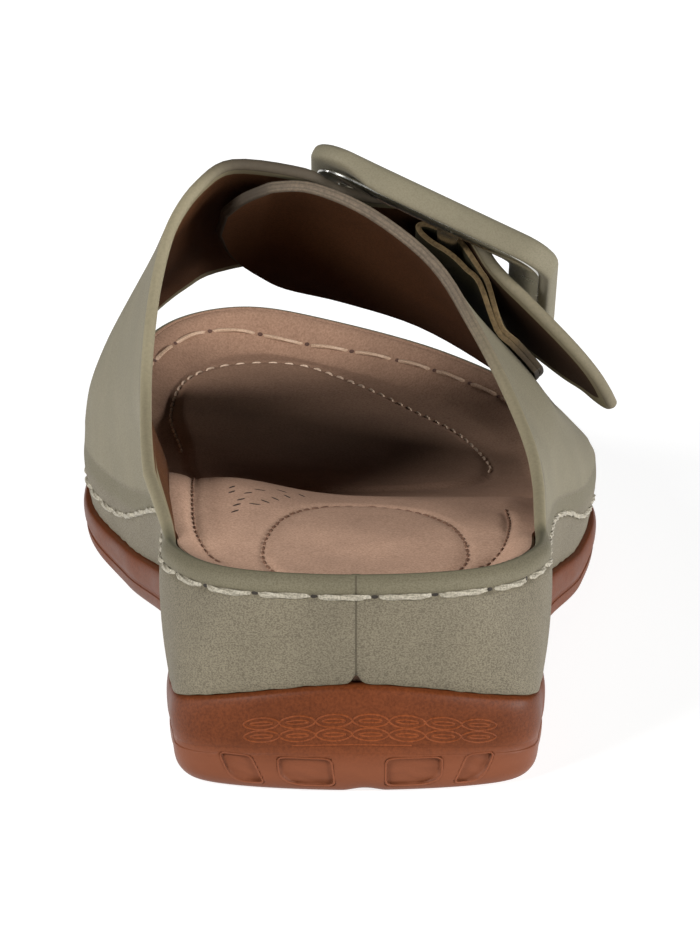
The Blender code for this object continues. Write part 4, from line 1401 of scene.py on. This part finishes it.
def sweepTree():
    tree, sockets, start, end = nodeTree("sweepThread", (
        ("Thread radius", "NodeSocketFloat"),
        ("Strand depth", "NodeSocketFloat"),
        ("Strands", "NodeSocketInt"),
        ("Sides", "NodeSocketInt"),
        ("Thread", "NodeSocketMaterial"),
    ))
    link = tree.links.new
    curve = tree.nodes.new("GeometryNodeMeshToCurve")
    size = tree.nodes.new("GeometryNodeSetCurveRadius")
    tilt = tree.nodes.new("GeometryNodeSetCurveTilt")
    star = tree.nodes.new("GeometryNodeCurveStar")
    rounder = addNode(tree, "GeometryNodeCurveSplineType", spline_type="BEZIER")
    soft = addNode(tree, "GeometryNodeCurveSetHandles", handle_type="AUTO")
    fine = tree.nodes.new("GeometryNodeResampleCurve")
    sweep = addNode(tree, "GeometryNodeCurveToMesh", in_Fill_Caps=True)
    shade = addNode(tree, "GeometryNodeSetShadeSmooth")
    realize = tree.nodes.new("GeometryNodeRealizeInstances")
    paint = tree.nodes.new("GeometryNodeSetMaterial")
    hollow = addNode(tree, "ShaderNodeMath", operation="SUBTRACT")
    link(start.outputs["Geometry"], curve.inputs["Mesh"])
    link(curve.outputs["Curve"], size.inputs["Curve"])
    link(named(tree, "thick", "FLOAT"), size.inputs["Radius"])
    link(size.outputs["Curve"], tilt.inputs["Curve"])
    link(named(tree, "twist", "FLOAT"), tilt.inputs["Tilt"])
    link(start.outputs["Strands"], star.inputs["Points"])
    link(start.outputs["Thread radius"], star.inputs["Outer Radius"])
    link(start.outputs["Thread radius"], hollow.inputs[0])
    link(start.outputs["Strand depth"], hollow.inputs[1])
    link(hollow.outputs[0], star.inputs["Inner Radius"])
    link(star.outputs["Curve"], rounder.inputs["Curve"])
    link(rounder.outputs["Curve"], soft.inputs["Curve"])
    link(soft.outputs["Curve"], fine.inputs["Curve"])
    link(start.outputs["Sides"], fine.inputs["Count"])
    link(tilt.outputs["Curve"], sweep.inputs["Curve"])
    link(fine.outputs["Curve"], sweep.inputs["Profile Curve"])
    link(sweep.outputs["Mesh"], shade.inputs[0])
    link(shade.outputs[0], realize.inputs["Geometry"])
    link(realize.outputs["Geometry"], paint.inputs["Geometry"])
    link(start.outputs["Thread"], paint.inputs["Material"])
    link(paint.outputs["Geometry"], end.inputs["Geometry"])
    return tree, sockets


def markTree():
    tree, sockets, start, end = nodeTree("marksOnPoints", (
        ("Mark", "NodeSocketObject"),
        ("Finish", "NodeSocketMaterial"),
    ))
    link = tree.links.new
    info = tree.nodes.new("GeometryNodeObjectInfo")
    turn = addNode(tree, "FunctionNodeAxesToRotation", primary_axis="X", secondary_axis="Z")
    place = tree.nodes.new("GeometryNodeInstanceOnPoints")
    realize = tree.nodes.new("GeometryNodeRealizeInstances")
    paint = tree.nodes.new("GeometryNodeSetMaterial")
    link(start.outputs["Mark"], info.inputs["Object"])
    link(start.outputs["Geometry"], place.inputs["Points"])
    link(info.outputs["Geometry"], place.inputs["Instance"])
    link(named(tree, "along", "FLOAT_VECTOR"), turn.inputs["Primary Axis"])
    link(named(tree, "up", "FLOAT_VECTOR"), turn.inputs["Secondary Axis"])
    link(turn.outputs["Rotation"], place.inputs["Rotation"])
    link(place.outputs["Instances"], realize.inputs["Geometry"])
    link(realize.outputs["Geometry"], paint.inputs["Geometry"])
    link(start.outputs["Finish"], paint.inputs["Material"])
    link(paint.outputs["Geometry"], end.inputs["Geometry"])
    return tree, sockets


sweeper, sweepSockets = sweepTree()
marker, markSockets = markTree()


def nodesPiece(name, mesh, tree, sockets, values):
    obj = objectOf(mesh, name)
    mod = obj.modifiers.new(tree.name, "NODES")
    mod.node_group = tree
    for label, value in values.items():
        mod[sockets[label].identifier] = value
    settle(obj)
    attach(obj, "root")
    print(name + ":", len(obj.data.polygons), "faces")
    return obj


def sewnMesh(name, runs):  # runs are lists of (point, thickness, twist)
    mesh = bpy.data.meshes.new(name)
    points, edges, thick, twist = [], [], [], []
    for run in runs:
        first = len(points)
        points += [(Vector(p) - shoe["middle"]) * mm for p, _, _ in run]
        thick += [t for _, t, _ in run]
        twist += [w for _, _, w in run]
        edges += [(first + k, first + k + 1) for k in range(len(run) - 1)]
    mesh.from_pydata(points, edges, [])
    for mark, values in (("thick", thick), ("twist", twist)):
        layer = mesh.attributes.new(mark, "FLOAT", "POINT")
        layer.data.foreach_set("value", np.array(values, np.float32))
    return mesh


def stitchRuns(points, ups, look, start=0.0, closed=False, steps=12, uneven=0.0):
    run = pathTable(points)
    whole = run[-1]
    table = np.array([tuple(p) for p in points])
    upTable = np.array([tuple(u) for u in ups])
    count = round(whole / look["pitch"]) if closed else int((whole - start) / look["pitch"])
    pitch = whole / count if closed else look["pitch"]
    stitches = []
    for k in range(count):
        middle = start + (k + 0.5) * pitch
        lean = uneven * noise.noise(Vector((k * 1.7, 4.0, 0.0)))
        droop = uneven * noise.noise(Vector((k * 2.3, 9.0, 0.0)))
        stitch = []
        for f in spread(-1.0, 1.0, steps):
            s = middle + f * look["length"] / 2
            s = s % whole if closed else s
            p = [float(np.interp(s, run, table[:, j])) for j in range(3)]
            u = Vector([float(np.interp(s, run, upTable[:, j])) for j in range(3)])
            arch = 1.0 - abs(f) ** 5
            point = Vector(p) + u * (arch * look["lift"] - (1.0 - arch) * look["sink"])
            point.z += lean * f + droop * (1.0 - f * f)
            stitch.append((point, 0.5 + 0.5 * (1.0 - abs(f) ** 3), f * look["turns"] * math.pi))
        stitches.append(stitch)
    return stitches


def sew(name, runs, look, material):
    values = {
        "Thread radius": look["radius"] * mm,
        "Strand depth": look["strandDepth"] * mm,
        "Strands": look["strands"],
        "Sides": look["sides"],
        "Thread": material,
    }
    return nodesPiece(name, sewnMesh(name, runs), sweeper, sweepSockets, values)


def lensMesh(name, long, wide, thick):  # small flat oval
    mesh = bpy.data.meshes.new(name)
    bm = bmesh.new()
    bmesh.ops.create_uvsphere(bm, u_segments=14, v_segments=8, radius=0.5)
    bmesh.ops.scale(bm, vec=(long * mm, wide * mm, thick * mm), verts=bm.verts)
    bm.to_mesh(mesh)
    bm.free()
    mesh.shade_smooth()
    return mesh


def setMarks(name, lens, places, material):  # places are (point, along, up)
    mesh = bpy.data.meshes.new(name)
    mesh.from_pydata([(Vector(p) - shoe["middle"]) * mm for p, _, _ in places], [], [])
    for mark, index in (("along", 1), ("up", 2)):
        layer = mesh.attributes.new(mark, "FLOAT_VECTOR", "POINT")
        arrows = [tuple(row[index]) for row in places]
        layer.data.foreach_set("vector", np.array(arrows, np.float32).ravel())
    model = objectOf(lens, lens.name)
    obj = nodesPiece(name, mesh, marker, markSockets, {"Mark": model, "Finish": material})
    bpy.data.objects.remove(model, do_unlink=True)
    return obj


# rim stitch and its holes
stitchLine = [wallAtDepth(a, stitchDepth(a)) - outward(a) * 0.5 for a in ringAngles]
stitchUps = [outward(a) for a in ringAngles]
rimStitch["pitch"] = stitchPitch
wrapRuns = stitchRuns(stitchLine, stitchUps, rimStitch, rimStitch["firstHole"], closed=True, uneven=0.35)
fineRuns = []
for run in wrapRuns:  # finer beside the straps than at the heel
    fine = [1.0 - rimStitch["fine"]["share"] * ease(p.y, rimStitch["fine"]["run"]) for p, _, _ in run]
    fineRuns.append([(p, thick * f, twist) for (p, thick, twist), f in zip(run, fine)])
sew("rim_stitches", fineRuns, rimStitch, creamThread)

holes = []
for k in range(stitchCount):
    s = (rimStitch["firstHole"] + k * stitchPitch) % ringLength
    angle = float(np.interp(s, ringRun, ringAngles))
    along = outline(angle + 0.01) - outline(angle - 0.01)
    place = wallAtDepth(angle, stitchDepth(angle)) - outward(angle) * 0.82
    holes.append((place, along.normalized(), outward(angle)))
setMarks("rim_stitch_holes", lensMesh("hole_mark", 1.6, 1.2, 0.6), holes, holeDark)


def bedAt(x, y):  # point of the footbed's top and its normal, by a ray straight down
    local = (Vector((x, y, 90.0)) - shoe["middle"]) * mm
    _, place, normal, _ = bed.ray_cast(local, Vector((0.0, 0.0, -1.0)))
    return place / mm + shoe["middle"], normal


def bedLine(path):
    found = [bedAt(p.x, p.y) for p in path]
    return [p for p, _ in found], [n for _, n in found]


bedSewing = {
    "seam": {"pitch": 2.6, "length": 2.0, "lift": 0.12, "sink": 0.3, "radius": 0.24},
    "pad": {"pitch": 3.3, "length": 2.1, "lift": 0.2, "sink": 0.3, "radius": 0.3},
    "toe": {"pitch": 10.5, "length": 9.4, "lift": 0.26, "sink": 0.7, "radius": 0.42},
}
for look in bedSewing.values():
    look.update(turns=0.3, strands=3, strandDepth=0.05, sides=6)
bedSewing["toe"].update(strands=4, strandDepth=0.1, sides=16)
toeLine = {"inset": 5.2, "ends": (150.0, 140.0)}
padRun = [(-34.2, 178.5)] + list(footbed["pad"][:12]) + [(25.4, 162.0)]
bpy.context.view_layer.update()
seamRuns = []
for name in ("heelOval", "innerLine", "outerLine"):
    seamRuns += stitchRuns(*bedLine(bedPaths[name]), bedSewing["seam"], steps=5)
paleRuns = []
for run in seamRuns:  # a short pale run low on the egg's outer side
    middle = run[len(run) // 2][0]
    if 8.0 < middle.x < 18.5 and middle.y < oval["y"] - 6.0:
        paleRuns.append(run)
plainRuns = [run for run in seamRuns if run not in paleRuns]
sew("footbed_seams", plainRuns, bedSewing["seam"], bedThread)
padRuns = stitchRuns(*bedLine(smoothPath(padRun, 16, False)), bedSewing["pad"], steps=5)
sew("pad_stitches", padRuns + paleRuns, bedSewing["pad"], padThread)

toePath = []
for a in spread(angleAt(toeLine["ends"][0]), 2 * math.pi - angleAt(toeLine["ends"][1]), 260):
    toePath.append(outline(a) - outward(a) * toeLine["inset"])
points, ups = bedLine(toePath)
toeRuns = stitchRuns(points, ups, bedSewing["toe"], uneven=0.2)
sew("toe_stitches", toeRuns, bedSewing["toe"], toeThread)
toeRun = pathTable(points)
toeHoles = []
for k in range(int(toeRun[-1] / bedSewing["toe"]["pitch"])):
    n = int(np.searchsorted(toeRun, k * bedSewing["toe"]["pitch"]))
    along = points[min(n + 1, len(points) - 1)] - points[max(n - 1, 0)]
    toeHoles.append((points[n], along.normalized(), ups[n]))
setMarks("toe_stitch_holes", lensMesh("toe_hole_mark", 1.1, 0.8, 0.3), toeHoles, toeHole)

# fan of slits on the arch bump
slitFan = {
    "long": 2.3,
    "wide": 0.55,
    "thick": 0.16,
    "places": (
        (-22.2, 58.7, 52), (-21.9, 62.4, 50), (-21.2, 65.7, 48), (-19.9, 70.4, 45), (-22.9, 70.0, 58),
        (-22.9, 73.5, 62), (-18.6, 63.7, -5), (-17.7, 74.1, 10), (-16.7, 66.3, -40), (-14.9, 69.4, -50),
        (-13.7, 77.5, -20), (-12.7, 73.2, -55), (-10.0, 77.2, -58),
    ),
}
slits = []
for x, y, degrees in slitFan["places"]:
    place, normal = bedAt(x, y)
    along = Vector((math.cos(math.radians(degrees)), math.sin(math.radians(degrees)), 0.0))
    along -= normal * along.dot(normal)
    slits.append((place, along.normalized(), normal))
slitMark = lensMesh("slit_mark", slitFan["long"], slitFan["wide"], slitFan["thick"])
setMarks("arch_slits", slitMark, slits, slitDark)

# rows of moulded eyes on the heel of the outsole
eyes = {"wide": 6.5, "high": 0.118, "pitch": 6.5, "shares": (0.70, 0.573), "first": 2.6, "each": 3}
eyes.update(radius=0.2, strandDepth=0.01, strands=6, sides=6)
raisedLine = {"ends": (-11.5, 10.0), "share": 0.475, "thick": 0.8}


def soleSideAt(angle, share):  # share of the rubber's height at the heel
    top = at(rubberRound, angle)
    above = (share - outsole["groove"]) / (1.0 - outsole["groove"])
    level = float(np.interp(-above, [-v for v in outsole["above"][:6]], range(6)))
    point = outline(angle, 0.0) + outward(angle, 0.0) * openValue(outsole["swell"][:6], level)
    point.z = share * top
    return point


eyeRuns = []
for share in eyes["shares"]:
    for k in range(-eyes["each"], eyes["each"] + 1):
        for size, tall, thick in ((1.0, 1.0, 1.0), (0.62, 0.3, 0.7)):
            run = []
            for t in spread(0.0, 2 * math.pi, 30):
                away = eyes["first"] + k * eyes["pitch"] + size * eyes["wide"] / 2 * math.cos(t)
                angle = heelAngle(away)
                point = soleSideAt(angle, share + tall * eyes["high"] / 2 * signedPower(math.sin(t), 1.25))
                run.append((point - outward(angle, 0.0) * 0.06, thick, 0.0))
            eyeRuns.append(run)
ridge = []
for away in spread(*raisedLine["ends"], 24):  # over the groove
    angle = heelAngle(away)
    point = soleSideAt(angle, raisedLine["share"]) - outward(angle, 0.0) * 0.05
    ridge.append((point, raisedLine["thick"], 0.0))
eyeRuns.append(ridge)


def lowSideAt(angle, z):  # side of the outsole below the groove
    levels = np.linspace(5.0, len(outsole["swell"]) - 1.0, 120)
    groove = outsole["groove"] * at(rubberRound, angle)
    heights = [openValue(outsole["below"], t) * groove for t in levels]
    level = float(np.interp(-z, [-h for h in heights], levels))
    point = outline(angle, 0.0) + outward(angle, 0.0) * openValue(outsole["swell"], level)
    point.z = z
    return point


rimRuns = []
for away, wide, lean, side in heelPanels["places"]:  # rim of each panel
    rim = []
    for t in spread(0.0, 2 * math.pi, 48):
        c, d = math.cos(t), math.sin(t)
        power = 0.85 if c * side > 0 and d < 0 else 0.3
        u = wide / 2 * signedPower(c, power)
        v = heelPanels["height"] / 2 * signedPower(d, power)
        angle = heelAngle(u + away + lean * v)
        rim.append((lowSideAt(angle, heelPanels["middle"] + v) - outward(angle, 0.0) * 0.1, 0.6, 0.0))
    rimRuns.append(rim)
# the eyes and the raised line take the lighter rubber, the panel rims a slightly lighter one: painted
# highlight
sew("heel_eyes", eyeRuns, eyes, rubberRidgeHighlight)
sew("heel_panel_rims", rimRuns, eyes, rubberRimHighlight)

# camera, floor and light
view = {"place": (0.00113, -1.84327, 0.5545), "tilt": 74.0, "lens": 388.94, "sensor": 36.0}
camera = bpy.data.objects.new("camera", bpy.data.cameras.new("camera"))
camera.location = view["place"]
camera.rotation_euler = (math.radians(view["tilt"]), 0.0, 0.0)
camera.data.lens = view["lens"]
camera.data.sensor_width = view["sensor"]
camera.data.clip_end = 50.0
bpy.context.scene.collection.objects.link(camera)
bpy.context.scene.camera = camera

studio = {
    "floor": ((0.41, 0.41, 0.41), (0.39, 0.39, 0.39)),
    "floorGlow": 0.82,
    "world": 0.025,
    "inner rear": {"place": (-3.12, -3.12, 2.35), "size": (1.8, 1.8), "power": 252.0},
    "outer rear": {"place": (2.86, -3.18, 1.39), "size": (1.2, 1.2), "power": 134.0},
    "outer side": {"place": (2.94, -0.52, 0.26), "size": (1.4, 0.36), "power": 78.0},
    "inner side": {"place": (-2.98, -0.26, 0.26), "size": (1.4, 0.36), "power": 32.0},
}


def areaLight(name, look, aim=(0.0, 0.0, 0.03)):
    data = bpy.data.lights.new(name, "AREA")
    data.shape = "RECTANGLE"
    data.size, data.size_y = look["size"]
    data.energy = look["power"]
    lamp = bpy.data.objects.new(name, data)
    lamp.location = look["place"]
    lamp.rotation_euler = (Vector(aim) - Vector(look["place"])).to_track_quat("-Z", "Y").to_euler()
    bpy.context.scene.collection.objects.link(lamp)


for name in ("inner rear", "outer rear", "outer side", "inner side"):
    areaLight(name + " light", studio[name])
world = bpy.data.worlds.new("studio")
world.use_nodes = True
world.node_tree.nodes["Background"].inputs["Color"].default_value = (1.0, 1.0, 1.0, 1.0)
world.node_tree.nodes["Background"].inputs["Strength"].default_value = studio["world"]
bpy.context.scene.world = world
bpy.context.scene.view_settings.view_transform = "Standard"

floorMesh = bpy.data.meshes.new("floor")
floorMesh.from_pydata([(-8, -8, 0), (8, -8, 0), (8, 8, 0), (-8, 8, 0)], [], [(0, 1, 2, 3)])
floorPaint = mottled("studio floor", *studio["floor"], 3.0)
floorShader = floorPaint.node_tree.nodes["Principled BSDF"]
floorShader.inputs["Emission Color"].default_value = (1.0, 1.0, 1.0, 1.0)
floorShader.inputs["Emission Strength"].default_value = studio["floorGlow"]  # as a light table
floor = objectOf(floorMesh, "floor", floorPaint)
print("camera and light set")
